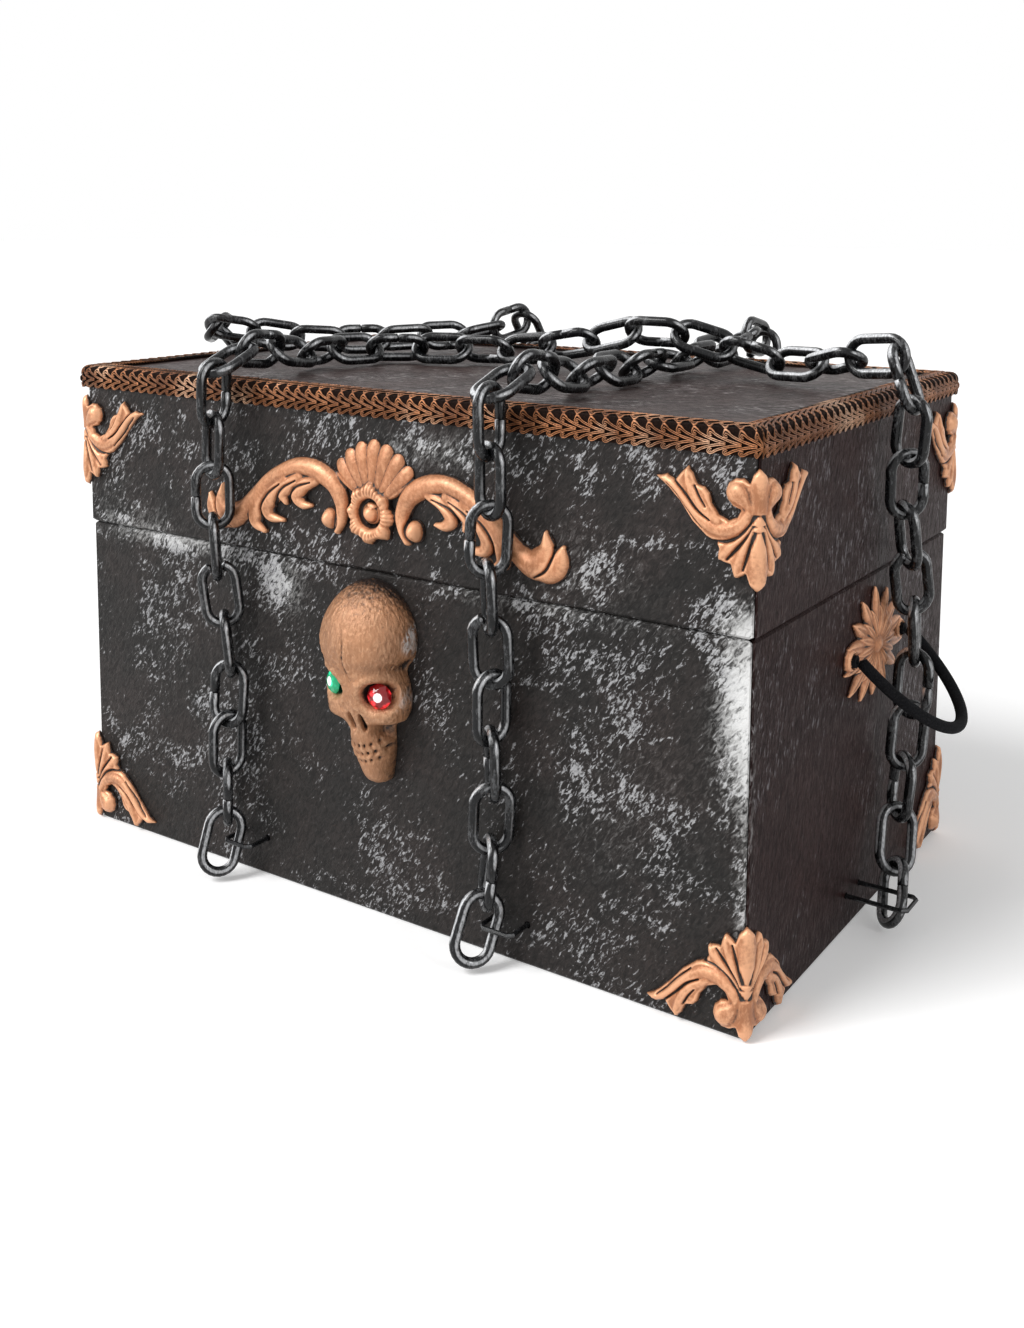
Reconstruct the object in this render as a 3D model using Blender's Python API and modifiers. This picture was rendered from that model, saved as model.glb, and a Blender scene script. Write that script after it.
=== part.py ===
"""Treasure chest: a flat-topped box with a hinged lid, copper ornaments, braid, rope handles and chains.

Metres, +Z up. The origin is the centre of the base's underside, the front faces -Y and the width runs
along X. The lid turns about the pins of two butt hinges on the back, at the height of the seam.
"""
import math

import bmesh
import bpy
from mathutils import Matrix, Vector

# Box and lid
CHEST_WIDTH = 0.420
CHEST_DEPTH = 0.264
CHEST_HEIGHT = 0.270
LID_HEIGHT = 0.0895
LID_OVERHANG = 0.001
BOARD_THICKNESS = 0.009
FLOOR_THICKNESS = 0.007
BOARD_BEVEL = 0.0013
GLUE_GAP = 0.0003
SEAM_GAP = 0.0006
CUT_OVERRUN = 0.004

# Braid over the lid's top edges
BRAID_THICKNESS = 0.0026
BRAID_DROP = 0.0108
BRAID_TOP_WIDTH = 0.011

# Chain
LINK_LENGTH = 0.038
LINK_WIDTH = 0.023
LINK_WIRE = 0.0054
LINK_BITE = 0.0004
LINK_LEAN = math.radians(45)
CROSSED_LEAN = math.radians(18)
LINK_BEND_STEPS = 3
LINK_FACETS = 6
LINK_TURN = math.radians(90)
LINK_TWIST_TURN = math.radians(60)
LINK_EASE_TURN = math.radians(67.5)
CHAIN_PLAY = 0.0007
SLIT_CLEARANCE = 0.0005
STAPLE_RADIUS = 0.0012
STAPLE_SPREAD = 0.018
STAPLE_DEPTH = 0.0062
STAPLE_CLEARANCE = 0.0006
STAPLE_HOLE_SIDES = 9
WANDER_STEP = 0.05
HALVINGS = 24

# Hinges
HINGE_INSET = 0.080
HINGE_WIDTH = 0.036
HINGE_LEAF_HEIGHT = 0.022
HINGE_LEAF_THICKNESS = 0.0015
KNUCKLE_RADIUS = 0.0033
PIN_RADIUS = 0.0015
PIN_HEAD_RADIUS = 0.0024
PIN_HEAD_LENGTH = 0.001
HINGE_CLEARANCE = 0.0004
HINGE_SIDES = 10

# Corner ornaments
CORNER_REACH = 0.050
CORNER_HEIGHT = 0.052
CORNER_THICKNESS = 0.005
CORNER_TOP_MARGIN = 0.016
CORNER_FOOT_MARGIN = 0.0012
CORNER_CROWN = 0.0012

# Scroll ornament on the lid's front
SCROLL_CENTRE_X = 0.002
SCROLL_CENTRE_DROP = 0.058
SCROLL_HALF_SPAN = 0.113
SCROLL_THICKNESS = 0.0045
RELIEF_STEP = 0.00007
SHELL_RADIUS = 0.036
SHELL_LOBES = 7
SHELL_LOBE_DEPTH = 0.0022
SHELL_HALF_ANGLE = math.radians(52)
SHELL_THICKNESS = 0.004
FLOWER_RADIUS = 0.0155
FLOWER_PETALS = 8
FLOWER_PETAL_DEPTH = 0.0016
FLOWER_THICKNESS = 0.0065
FLOWER_BOSS_RADIUS = 0.0052
FLOWER_BOSS_HEIGHT = 0.003
VOLUTE_RADIUS = 0.0068

# Skull on the base's front
SKULL_CENTRE_X = 0.005
SKULL_SEAM_MARGIN = 0.0045
SKULL_HEIGHT = 0.103
SKULL_HALF_WIDTH = 0.0265
SKULL_DEPTH = 0.032
SKULL_SECTION_STEPS = 10
EYE_HEIGHT_SHARE = 0.515
EYE_SPREAD = 0.0145
EYE_RADIUS = 0.0066
EYE_DEPTH = 0.0125
EYE_TOE_OUT = math.radians(24)
GEM_RADIUS = 0.0052
GEM_DEPTH = 0.0045
GEM_SIDES = 8

# Side ornament and rope handle
SIDE_CENTRE_Y = 0.016
PALMETTE_HALF_WIDTH = 0.041
PALMETTE_HALF_HEIGHT = 0.0285
PALMETTE_SEAM_MARGIN = 0.009
PALMETTE_THICKNESS = 0.004
PALMETTE_LEAVES = 12
PALMETTE_CLEFT_SHARE = 0.66
EYELET_RADIUS = 0.0068
HANDLE_SPREAD = 0.070
ROPE_RADIUS = 0.003
ROPE_LOOP_DROP = 0.051
ROPE_LOOP_TILT = math.radians(48)
ROPE_LOOP_STEPS = 12
ROPE_SEAT_SETBACK = 0.0025
ROPE_SEAT_GAP = 0.00035
KNOT_RADIUS = 0.0062
KNOT_LENGTH = 0.011

# Derived places
SEAM_HEIGHT = CHEST_HEIGHT - LID_HEIGHT
SKULL_CHIN_HEIGHT = SEAM_HEIGHT - SKULL_SEAM_MARGIN - SKULL_HEIGHT
HANDLE_HEIGHT = SEAM_HEIGHT - PALMETTE_SEAM_MARGIN - PALMETTE_HALF_HEIGHT
HINGE_SPREAD = CHEST_WIDTH - 2 * HINGE_INSET
BASE_WIDTH = CHEST_WIDTH - 2 * LID_OVERHANG
BASE_DEPTH = CHEST_DEPTH - 2 * LID_OVERHANG
LINK_REACH = LINK_LENGTH - LINK_WIRE
LINK_SKIN = LINK_WIRE / 2 / math.cos(math.pi / LINK_FACETS)
LINK_BEND_RADIUS = (LINK_WIDTH - LINK_WIRE) / 2
LINK_SEAT = LINK_WIRE - LINK_BITE
LINK_PITCH = LINK_REACH - LINK_SEAT
LOOSE_SEAT = LINK_WIRE + 3 * GLUE_GAP
CHAIN_HALF_DEPTH = LINK_BEND_RADIUS * math.sin(LINK_LEAN) + LINK_SKIN
CHAIN_STANDOFF = CHAIN_HALF_DEPTH + CHAIN_PLAY
HINGE_AXIS_Y = CHEST_DEPTH / 2 + GLUE_GAP + KNUCKLE_RADIUS + HINGE_CLEARANCE
HINGE_AXIS_Z = SEAM_HEIGHT
FRONT_TRIM = LID_OVERHANG + GLUE_GAP + SCROLL_THICKNESS
SIDE_TRIM = GLUE_GAP + PALMETTE_THICKNESS
BACK_TRIM = LID_OVERHANG + GLUE_GAP + BRAID_THICKNESS
HANDLE_AXIS_X = (
    BASE_WIDTH / 2 + GLUE_GAP + PALMETTE_THICKNESS + GLUE_GAP + ROPE_SEAT_SETBACK + ROPE_SEAT_GAP
)


# Scene set-up

def clear_scene():
    """Removes every object of the open file."""
    for item in list(bpy.data.objects):
        bpy.data.objects.remove(item, do_unlink=True)


clear_scene()
chest = bpy.data.collections.new("Treasure chest")
cutters = bpy.data.collections.new("Cutters")
bpy.context.scene.collection.children.link(chest)
bpy.context.scene.collection.children.link(cutters)


def finish_material(name, colour, roughness, metallic):
    """A plain Principled material."""
    material = bpy.data.materials.new(name)
    material.use_nodes = True
    shader = material.node_tree.nodes["Principled BSDF"]
    shader.inputs["Base Color"].default_value = (*colour, 1.0)
    shader.inputs["Roughness"].default_value = roughness
    shader.inputs["Metallic"].default_value = metallic
    return material


def add_object(name, mesh, material):
    """A sub-part of the chest."""
    item = bpy.data.objects.new(name, mesh)
    item.data.materials.clear()
    item.data.materials.append(material)
    chest.objects.link(item)
    return item


def add_cutter(name, mesh):
    """A helper solid that is cut away from a sub-part or joined to it."""
    item = bpy.data.objects.new(name, mesh)
    cutters.objects.link(item)
    item.hide_render = True
    item.display_type = "WIRE"
    return item


def combine(item, helper, operation):
    """Joins the helper to the item, or cuts it away."""
    step = item.modifiers.new(helper.name, "BOOLEAN")
    step.operation = operation
    step.solver = "EXACT"
    step.object = helper


def empty_at(name, location):
    """A pivot that moving pieces hang on."""
    pivot = bpy.data.objects.new(name, None)
    pivot.location = location
    chest.objects.link(pivot)
    return pivot


def hang_on(pivot, items):
    """Parents the items to the pivot and leaves them where they are."""
    bpy.context.view_layer.update()
    for item in items:
        item.parent = pivot
        item.matrix_parent_inverse = pivot.matrix_world.inverted()


# Mesh makers

def mesh_from(name, maker):
    """A mesh filled in by a function that takes a bmesh."""
    mesh = bpy.data.meshes.new(name)
    work = bmesh.new()
    maker(work)
    work.normal_update()
    work.to_mesh(mesh)
    work.free()
    return mesh


def block_mesh(name, low, high):
    """A box between two corners."""
    size = Vector(high) - Vector(low)
    centre = (Vector(high) + Vector(low)) / 2

    def maker(work):
        bmesh.ops.create_cube(work, size=1, matrix=Matrix.Translation(centre) @ Matrix.Diagonal((*size, 1)))

    return mesh_from(name, maker)


def rod_mesh(name, start, end, radius, sides, end_radius=None):
    """A straight round rod, or a cone, between two points."""
    start = Vector(start)
    end = Vector(end)
    along = end - start
    turn = along.to_track_quat("Z", "Y").to_matrix().to_4x4()
    place = Matrix.Translation((start + end) / 2) @ turn

    def maker(work):
        bmesh.ops.create_cone(
            work, cap_ends=True, segments=sides, radius1=radius,
            radius2=radius if end_radius is None else end_radius, depth=along.length, matrix=place,
        )

    return mesh_from(name, maker)


def ball_mesh(name, centre, radii, rings, sides):
    """An ellipsoid."""
    place = Matrix.Translation(centre) @ Matrix.Diagonal((*radii, 1))

    def maker(work):
        bmesh.ops.create_uvsphere(work, u_segments=sides, v_segments=rings, radius=1, matrix=place)

    return mesh_from(name, maker)


def curve_to_mesh(curve_data, name):
    """The evaluated, welded mesh of a curve, with the curve removed."""
    holder = bpy.data.objects.new(name, curve_data)
    cutters.objects.link(holder)
    bpy.context.view_layer.update()
    evaluated = holder.evaluated_get(bpy.context.evaluated_depsgraph_get())
    mesh = bpy.data.meshes.new_from_object(evaluated)
    mesh.name = name
    bpy.data.objects.remove(holder, do_unlink=True)
    bpy.data.curves.remove(curve_data)
    weld_distance = GLUE_GAP / 10
    work = bmesh.new()
    work.from_mesh(mesh)
    bmesh.ops.remove_doubles(work, verts=work.verts, dist=weld_distance)
    bmesh.ops.recalc_face_normals(work, faces=work.faces)
    work.to_mesh(mesh)
    work.free()
    return mesh


def plate_mesh(name, outline, thickness, crown=0):
    """A flat plate: the outline in X and Z, its back at Y = 0 and its front at Y = -thickness."""
    data = bpy.data.curves.new(name, "CURVE")
    data.dimensions = "2D"
    data.fill_mode = "BOTH"
    data.extrude = thickness / 2
    spline = data.splines.new("POLY")
    spline.points.add(len(outline) - 1)
    for point, (x, z) in zip(spline.points, outline):
        point.co = (x, z, 0, 1)
    spline.use_cyclic_u = True
    mesh = curve_to_mesh(data, name)
    stand = Matrix.Translation((0, -thickness / 2, 0)) @ Matrix.Rotation(math.radians(90), 4, "X")
    mesh.transform(stand)
    if crown:
        crown_front(mesh, crown)
    return mesh


def crown_front(mesh, crown):
    """Draws the front face in and lifts it, so that the relief has a rounded shoulder."""
    work = bmesh.new()
    work.from_mesh(mesh)
    bmesh.ops.dissolve_limit(work, angle_limit=math.radians(1), verts=work.verts, edges=work.edges)
    front = [face for face in work.faces if face.normal.y < -math.cos(math.radians(10))]
    bmesh.ops.inset_region(work, faces=front, thickness=crown, depth=crown, use_even_offset=False)
    work.to_mesh(mesh)
    work.free()


def ribbon_outline(points, half_widths):
    """The outline of a band that follows the points, with its own half width at each."""
    left = []
    right = []
    for index, point in enumerate(points):
        before = points[max(index - 1, 0)]
        after = points[min(index + 1, len(points) - 1)]
        along = Vector((after[0] - before[0], after[1] - before[1])).normalized()
        side = Vector((-along.y, along.x)) * half_widths[index]
        left.append((point[0] + side.x, point[1] + side.y))
        right.append((point[0] - side.x, point[1] - side.y))
    return left + right[::-1]


def smooth_route(points, steps=10):
    """Points along a smooth curve through the given ones."""
    knots = [points[0]] + list(points) + [points[-1]]
    route = []
    for a, b, c, d in zip(knots, knots[1:], knots[2:], knots[3:]):
        for step in range(steps):
            t = step / steps
            route.append(
                0.5 * (2 * b + (c - a) * t + (2 * a - 5 * b + 4 * c - d) * t ** 2
                       + (3 * b - a - 3 * c + d) * t ** 3)
            )
    route.append(points[-1].copy())
    return route


# Materials
paint = finish_material("aged_paint", (0.042, 0.034, 0.031), 0.55, 0.0)
copper = finish_material("copper_paint", (0.52, 0.22, 0.10), 0.45, 0.35)
braid_finish = finish_material("copper_braid", (0.40, 0.13, 0.035), 0.55, 0.25)
chain_finish = finish_material("chain_plastic", (0.022, 0.023, 0.026), 0.32, 0.15)
hinge_steel = finish_material("hinge_steel", (0.30, 0.29, 0.27), 0.40, 0.9)
rope_finish = finish_material("black_rope", (0.010, 0.010, 0.011), 0.90, 0.0)
green_glass = finish_material("green_gem", (0.010, 0.34, 0.16), 0.08, 0.0)
red_glass = finish_material("red_gem", (0.62, 0.015, 0.02), 0.08, 0.0)


# Boards

def mitred_board(name, length, distance, low, high, turn):
    """A board on edge whose outer face lies at the distance, with ends mitred to meet its neighbours."""
    half = length / 2 - GLUE_GAP
    mesh = block_mesh(name, (-half, -distance, low), (half, -distance + BOARD_THICKNESS, high))
    for vertex in mesh.vertices:
        if vertex.co.y > -distance + BOARD_THICKNESS / 2:
            vertex.co.x -= math.copysign(BOARD_THICKNESS, vertex.co.x)
    board = add_object(name, mesh, paint)
    board.rotation_euler.z = turn
    round_edges(board, BOARD_BEVEL)
    return board


def round_edges(item, width):
    """A small bevel on every edge of a plain block."""
    step = item.modifiers.new("rounded edges", "BEVEL")
    step.width = width
    step.segments = 1
    step.limit_method = "ANGLE"
    step.use_clamp_overlap = True


def four_walls(names, width, depth, low, high):
    """Front, right, back and left boards of a box."""
    lengths = (width, depth, width, depth)
    distances = (depth / 2, width / 2, depth / 2, width / 2)
    walls = []
    for quarter, name in enumerate(names):
        turn = quarter * math.radians(90)
        walls.append(mitred_board(name, lengths[quarter], distances[quarter], low, high, turn))
    return walls


base_front, base_right, base_back, base_left = four_walls(
    ("base_front", "base_right", "base_back", "base_left"), BASE_WIDTH, BASE_DEPTH,
    0, SEAM_HEIGHT - SEAM_GAP / 2,
)
lid_front, lid_right, lid_back, lid_left = four_walls(
    ("lid_front", "lid_right", "lid_back", "lid_left"), CHEST_WIDTH, CHEST_DEPTH,
    SEAM_HEIGHT + SEAM_GAP / 2, CHEST_HEIGHT - BOARD_THICKNESS - GLUE_GAP,
)


def level_board(name, width, depth, low, high):
    """A board that lies flat."""
    mesh = block_mesh(name, (-width / 2, -depth / 2, low), (width / 2, depth / 2, high))
    board = add_object(name, mesh, paint)
    round_edges(board, BOARD_BEVEL)


floor_inset = 2 * (BOARD_THICKNESS + GLUE_GAP)
level_board(
    "base_bottom", BASE_WIDTH - floor_inset, BASE_DEPTH - floor_inset, 0, FLOOR_THICKNESS,
)
level_board("lid_top", CHEST_WIDTH, CHEST_DEPTH, CHEST_HEIGHT - BOARD_THICKNESS, CHEST_HEIGHT)


def braid_band():
    """The braid: an angle section that runs round the lid's top edge."""
    out_x = CHEST_WIDTH / 2 + GLUE_GAP + BRAID_THICKNESS
    out_y = CHEST_DEPTH / 2 + GLUE_GAP + BRAID_THICKNESS
    low = CHEST_HEIGHT - BRAID_DROP
    high = CHEST_HEIGHT + GLUE_GAP + BRAID_THICKNESS
    block = block_mesh("braid_trim", (-out_x, -out_y, low), (out_x, out_y, high))
    band = add_object("braid_trim", block, braid_finish)
    round_edges(band, BRAID_THICKNESS / 3)
    in_x = CHEST_WIDTH / 2 + GLUE_GAP
    in_y = CHEST_DEPTH / 2 + GLUE_GAP
    hollow = block_mesh(
        "braid_hollow", (-in_x, -in_y, low - CUT_OVERRUN), (in_x, in_y, CHEST_HEIGHT + GLUE_GAP),
    )
    combine(band, add_cutter("braid_hollow", hollow), "DIFFERENCE")
    open_x = CHEST_WIDTH / 2 - BRAID_TOP_WIDTH
    open_y = CHEST_DEPTH / 2 - BRAID_TOP_WIDTH
    mouth = block_mesh("braid_mouth", (-open_x, -open_y, CHEST_HEIGHT), (open_x, open_y, high + CUT_OVERRUN))
    combine(band, add_cutter("braid_mouth", mouth), "DIFFERENCE")


braid_band()


# Corner ornaments

# Outline of one wing as shares of its reach from the corner and of its height above the pointed tip
CORNER_OUTLINE_SHARES = (
    (0.00, 0.00), (0.08, 0.12), (0.22, 0.11), (0.23, 0.22), (0.35, 0.25), (0.37, 0.38), (0.52, 0.46),
    (0.68, 0.60), (0.84, 0.80), (0.98, 0.87), (0.78, 0.89), (0.68, 1.00), (0.59, 0.87), (0.46, 0.82),
    (0.43, 0.70), (0.33, 0.63), (0.24, 0.66), (0.29, 0.76), (0.27, 0.88), (0.18, 0.94), (0.08, 0.92),
    (0.00, 0.86),
)


def corner_wing(name, upright, corner_reach, thickness):
    """One wing of a corner ornament, flat on its wall; it reaches past the corner by the given length."""
    outline = []
    for reach_share, height_share in CORNER_OUTLINE_SHARES:
        rise = height_share if upright else 1 - height_share
        reach = -reach_share * CORNER_REACH if reach_share else corner_reach
        outline.append((reach, rise * CORNER_HEIGHT))
    if not upright:
        outline.reverse()
    wing = plate_mesh(name, outline, thickness)
    wing.transform(Matrix.Translation((0, -GLUE_GAP, 0)))
    return wing


def corner_ornament(name, turn, corner_x, corner_y, low, upright):
    """An acanthus corner: two equal wings joined over the vertical edge."""
    wing = corner_wing(name, upright, GLUE_GAP + CORNER_THICKNESS, CORNER_THICKNESS)
    other = corner_wing(
        name + "_side", upright, GLUE_GAP + CORNER_THICKNESS / 2, CORNER_THICKNESS - RELIEF_STEP,
    )
    other.transform(Matrix.Scale(-1, 4, (1, 0, 0)))
    other.transform(Matrix.Rotation(math.radians(90), 4, "Z"))
    other.flip_normals()
    place = Matrix.Translation((corner_x, corner_y, low)) @ Matrix.Rotation(turn, 4, "Z")
    ornament = add_object(name, wing, copper)
    ornament.matrix_world = place
    helper = add_cutter(name + "_side", other)
    helper.matrix_world = place
    combine(ornament, helper, "UNION")


def four_corners(level, width, depth, low, upright):
    """The four corner ornaments of the base or of the lid."""
    places = (
        ("front_right", 0, 1, -1), ("back_right", 1, 1, 1),
        ("back_left", 2, -1, 1), ("front_left", 3, -1, -1),
    )
    for place, quarter, sign_x, sign_y in places:
        name = "corner_" + level + "_" + place
        turn = quarter * math.radians(90)
        corner_ornament(name, turn, sign_x * width / 2, sign_y * depth / 2, low, upright)


upper_low = CHEST_HEIGHT - CORNER_TOP_MARGIN - CORNER_HEIGHT
four_corners("upper", CHEST_WIDTH, CHEST_DEPTH, upper_low, True)
four_corners("lower", BASE_WIDTH, BASE_DEPTH, CORNER_FOOT_MARGIN, False)


# Scroll ornament

def lobed_circle(radius, depth, lobes, steps_per_lobe):
    """A round outline whose edge waves once for each lobe."""
    count = lobes * steps_per_lobe
    points = []
    for step in range(count):
        angle = 2 * math.pi * step / count
        reach = radius + depth * math.cos(lobes * angle)
        points.append((reach * math.sin(angle), reach * math.cos(angle)))
    return points[::-1]


def shell_outline():
    """The shell above the flower: a fan with a scalloped edge."""
    steps = SHELL_LOBES * 2
    points = [(0, 0)]
    for step in range(steps + 1):
        angle = SHELL_HALF_ANGLE * (1 - 2 * step / steps)
        reach = SHELL_RADIUS + SHELL_LOBE_DEPTH * (1 if step % 2 else -1)
        points.append((reach * math.sin(angle), reach * math.cos(angle)))
    return points


# The C-scroll's band: reach out from the middle and rise over the flower's centre, as shares of the half
# span, then its half width as a share of the volute radius
SCROLL_BAND_SHARES = (
    (0.190, -0.060, 0.60), (0.170, 0.060, 0.75), (0.225, 0.165, 0.85), (0.330, 0.200, 0.95),
    (0.450, 0.150, 1.10), (0.570, 0.040, 1.25), (0.700, -0.050, 1.20), (0.850, -0.110, 0.95),
    (0.985, -0.105, 0.70),
)
SCROLL_LEAF_SHARES = (
    ((0.500, 0.060, 0.75), (0.530, -0.080, 0.60), (0.500, -0.190, 0.25)),
    ((0.600, -0.010, 0.80), (0.640, -0.130, 0.65), (0.600, -0.235, 0.25)),
)
VOLUTE_SHARES = (0.245, -0.065)


def scroll_band(shares, side):
    """One band of the scroll, on the left or the right side."""
    points = [(side * reach * SCROLL_HALF_SPAN, rise * SCROLL_HALF_SPAN) for reach, rise, width in shares]
    widths = [width * VOLUTE_RADIUS for reach, rise, width in shares]
    outline = ribbon_outline(points, widths)
    return outline if side < 0 else outline[::-1]


def scroll_ornament():
    """Shell, flower and two leafy C-scrolls, joined in one casting on the lid's front."""
    place = Matrix.Translation(
        (SCROLL_CENTRE_X, -CHEST_DEPTH / 2 - GLUE_GAP, CHEST_HEIGHT - SCROLL_CENTRE_DROP)
    )
    shell = plate_mesh("scroll_ornament", shell_outline(), SHELL_THICKNESS)
    ornament = add_object("scroll_ornament", shell, copper)
    ornament.matrix_world = place
    flower = lobed_circle(FLOWER_RADIUS, FLOWER_PETAL_DEPTH, FLOWER_PETALS, 3)
    pieces = [("scroll_flower", plate_mesh("scroll_flower", flower, FLOWER_THICKNESS, CORNER_CROWN))]
    boss_top = -FLOWER_THICKNESS - FLOWER_BOSS_HEIGHT
    boss = rod_mesh("scroll_boss", (0, -FLOWER_THICKNESS / 2, 0), (0, boss_top, 0), FLOWER_BOSS_RADIUS, 10,
                    FLOWER_BOSS_RADIUS / 2)
    pieces.append(("scroll_boss", boss))
    for side, label in ((-1, "left"), (1, "right")):
        band = plate_mesh("scroll_band_" + label, scroll_band(SCROLL_BAND_SHARES, side), SCROLL_THICKNESS)
        pieces.append(("scroll_band_" + label, band))
        for index, shares in enumerate(SCROLL_LEAF_SHARES):
            leaf_name = "scroll_leaf_" + label + "_" + str(index + 1)
            leaf_thickness = SCROLL_THICKNESS - GLUE_GAP * (index + 1)
            pieces.append((leaf_name, plate_mesh(leaf_name, scroll_band(shares, side), leaf_thickness)))
        centre = (side * VOLUTE_SHARES[0] * SCROLL_HALF_SPAN, VOLUTE_SHARES[1] * SCROLL_HALF_SPAN)
        volute = rod_mesh("scroll_volute_" + label, (centre[0], 0, centre[1]),
                          (centre[0], -SCROLL_THICKNESS - CORNER_CROWN, centre[1]), VOLUTE_RADIUS, 10,
                          VOLUTE_RADIUS * 0.7)
        pieces.append(("scroll_volute_" + label, volute))
    for index, (name, mesh) in enumerate(pieces):
        helper = add_cutter(name, mesh)
        helper.matrix_world = Matrix.Translation((0, -RELIEF_STEP * (index + 1), 0)) @ place
        combine(ornament, helper, "UNION")


scroll_ornament()


# Skull

# Height, half width and depth of each level, as shares of the skull's own sizes
SKULL_LEVEL_SHARES = (
    (0.00, 0.24, 0.40), (0.05, 0.34, 0.60), (0.14, 0.40, 0.76), (0.26, 0.41, 0.80), (0.33, 0.46, 0.76),
    (0.39, 0.74, 0.70), (0.46, 0.80, 0.78), (0.54, 0.78, 0.82), (0.62, 0.92, 0.97), (0.74, 1.00, 1.00),
    (0.86, 0.90, 0.86), (0.95, 0.64, 0.60), (1.00, 0.26, 0.26),
)


def skull_mesh():
    """A relief skull lofted from flat-backed sections."""

    def maker(work):
        rows = []
        for height_share, width_share, depth_share in SKULL_LEVEL_SHARES:
            row = []
            for step in range(SKULL_SECTION_STEPS + 1):
                angle = math.pi * step / SKULL_SECTION_STEPS
                x = -SKULL_HALF_WIDTH * width_share * math.cos(angle)
                y = -SKULL_DEPTH * depth_share * math.sin(angle)
                row.append(work.verts.new((x, y, SKULL_HEIGHT * height_share)))
            rows.append(row)
        for lower, upper in zip(rows, rows[1:]):
            for a, b, c, d in zip(lower, lower[1:], upper[1:], upper):
                work.faces.new((a, b, c, d))
            work.faces.new((lower[-1], lower[0], upper[0], upper[-1]))
        work.faces.new(rows[0][::-1])
        work.faces.new(rows[-1])
        bmesh.ops.recalc_face_normals(work, faces=work.faces)

    return mesh_from("skull", maker)


def eye_direction(side):
    """The way an eye socket looks: forwards and a little outwards."""
    return Vector((side * math.sin(EYE_TOE_OUT), -math.cos(EYE_TOE_OUT), 0))


def eye_bottom(side):
    """The middle of an eye socket's floor."""
    height = SKULL_CHIN_HEIGHT + EYE_HEIGHT_SHARE * SKULL_HEIGHT
    face_y = -BASE_DEPTH / 2 - GLUE_GAP
    return Vector((SKULL_CENTRE_X + side * EYE_SPREAD, face_y - EYE_DEPTH, height))


skull = add_object("skull", skull_mesh(), copper)
skull.location = (SKULL_CENTRE_X, -BASE_DEPTH / 2 - GLUE_GAP, SKULL_CHIN_HEIGHT)
for eye_side, eye_name, gem_material in ((-1, "green", green_glass), (1, "red", red_glass)):
    floor_point = eye_bottom(eye_side)
    gaze = eye_direction(eye_side)
    socket = rod_mesh("eye_socket_" + eye_name, floor_point, floor_point + gaze * SKULL_DEPTH, EYE_RADIUS, 12)
    combine(skull, add_cutter("eye_socket_" + eye_name, socket), "DIFFERENCE")
    gem_foot = floor_point + gaze * GLUE_GAP
    gem_top = gem_foot + gaze * GEM_DEPTH
    gem = rod_mesh("gem_" + eye_name, gem_foot, gem_top, GEM_RADIUS, GEM_SIDES, GEM_RADIUS / 2)
    add_object("gem_" + eye_name, gem, gem_material)


# Side ornaments, rope handles and the knots that hold them

def palmette_outline():
    """A spray of pointed leaves round an oval."""
    points = []
    count = PALMETTE_LEAVES * 2
    for step in range(count):
        angle = 2 * math.pi * step / count
        reach = PALMETTE_CLEFT_SHARE if step % 2 else 1
        across = PALMETTE_HALF_WIDTH * reach * math.sin(angle)
        points.append((across, PALMETTE_HALF_HEIGHT * reach * math.cos(angle)))
    return points[::-1]


def side_fittings(side, label, wall):
    """The palmette, the two knotted rope ends through the wall and the rope loop of one side."""
    turn = Matrix.Rotation(side * math.radians(90), 4, "Z")
    face = side * (BASE_WIDTH / 2 + GLUE_GAP)
    plate = plate_mesh("side_ornament_" + label, palmette_outline(), PALMETTE_THICKNESS)
    palmette = add_object("side_ornament_" + label, plate, copper)
    palmette.matrix_world = Matrix.Translation((face, SIDE_CENTRE_Y, HANDLE_HEIGHT)) @ turn
    stub_radius = ROPE_RADIUS + GLUE_GAP
    inner_face = BASE_WIDTH / 2 - BOARD_THICKNESS
    seat_plane = HANDLE_AXIS_X - ROPE_SEAT_SETBACK
    for end, place in ((-1, "front"), (1, "back")):
        y = SIDE_CENTRE_Y + end * HANDLE_SPREAD / 2
        eyelet = rod_mesh(
            "rope_eyelet_" + label + "_" + place, (face + side * RELIEF_STEP, y, HANDLE_HEIGHT),
            (face + side * (PALMETTE_THICKNESS + RELIEF_STEP * 2), y, HANDLE_HEIGHT), EYELET_RADIUS, 10,
        )
        combine(palmette, add_cutter("rope_eyelet_" + label + "_" + place, eyelet), "UNION")
        hole = rod_mesh(
            "rope_hole_" + label + "_" + place, (side * (inner_face - CUT_OVERRUN), y, HANDLE_HEIGHT),
            (side * (seat_plane + CUT_OVERRUN), y, HANDLE_HEIGHT), stub_radius + GLUE_GAP, 11,
        )
        cutter = add_cutter("rope_hole_" + label + "_" + place, hole)
        combine(palmette, cutter, "DIFFERENCE")
        combine(wall, cutter, "DIFFERENCE")
        name = "rope_knot_" + label + "_" + place
        knot_centre = inner_face - GLUE_GAP - KNOT_LENGTH / 2
        stub = rod_mesh(
            name, (side * knot_centre, y, HANDLE_HEIGHT), (side * seat_plane, y, HANDLE_HEIGHT),
            stub_radius, 10,
        )
        knot = add_object(name, stub, rope_finish)
        lump = ball_mesh(
            name + "_lump", (side * knot_centre, y, HANDLE_HEIGHT),
            (KNOT_LENGTH / 2, KNOT_RADIUS, KNOT_RADIUS), 5, 7,
        )
        combine(knot, add_cutter(name + "_lump", lump), "UNION")
        seat = ball_mesh(
            name + "_seat", (side * HANDLE_AXIS_X, y, HANDLE_HEIGHT),
            (ROPE_RADIUS + ROPE_SEAT_GAP,) * 3, 7, 8,
        )
        combine(knot, add_cutter(name + "_seat", seat), "DIFFERENCE")
    return rope_loop(side, label)


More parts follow.
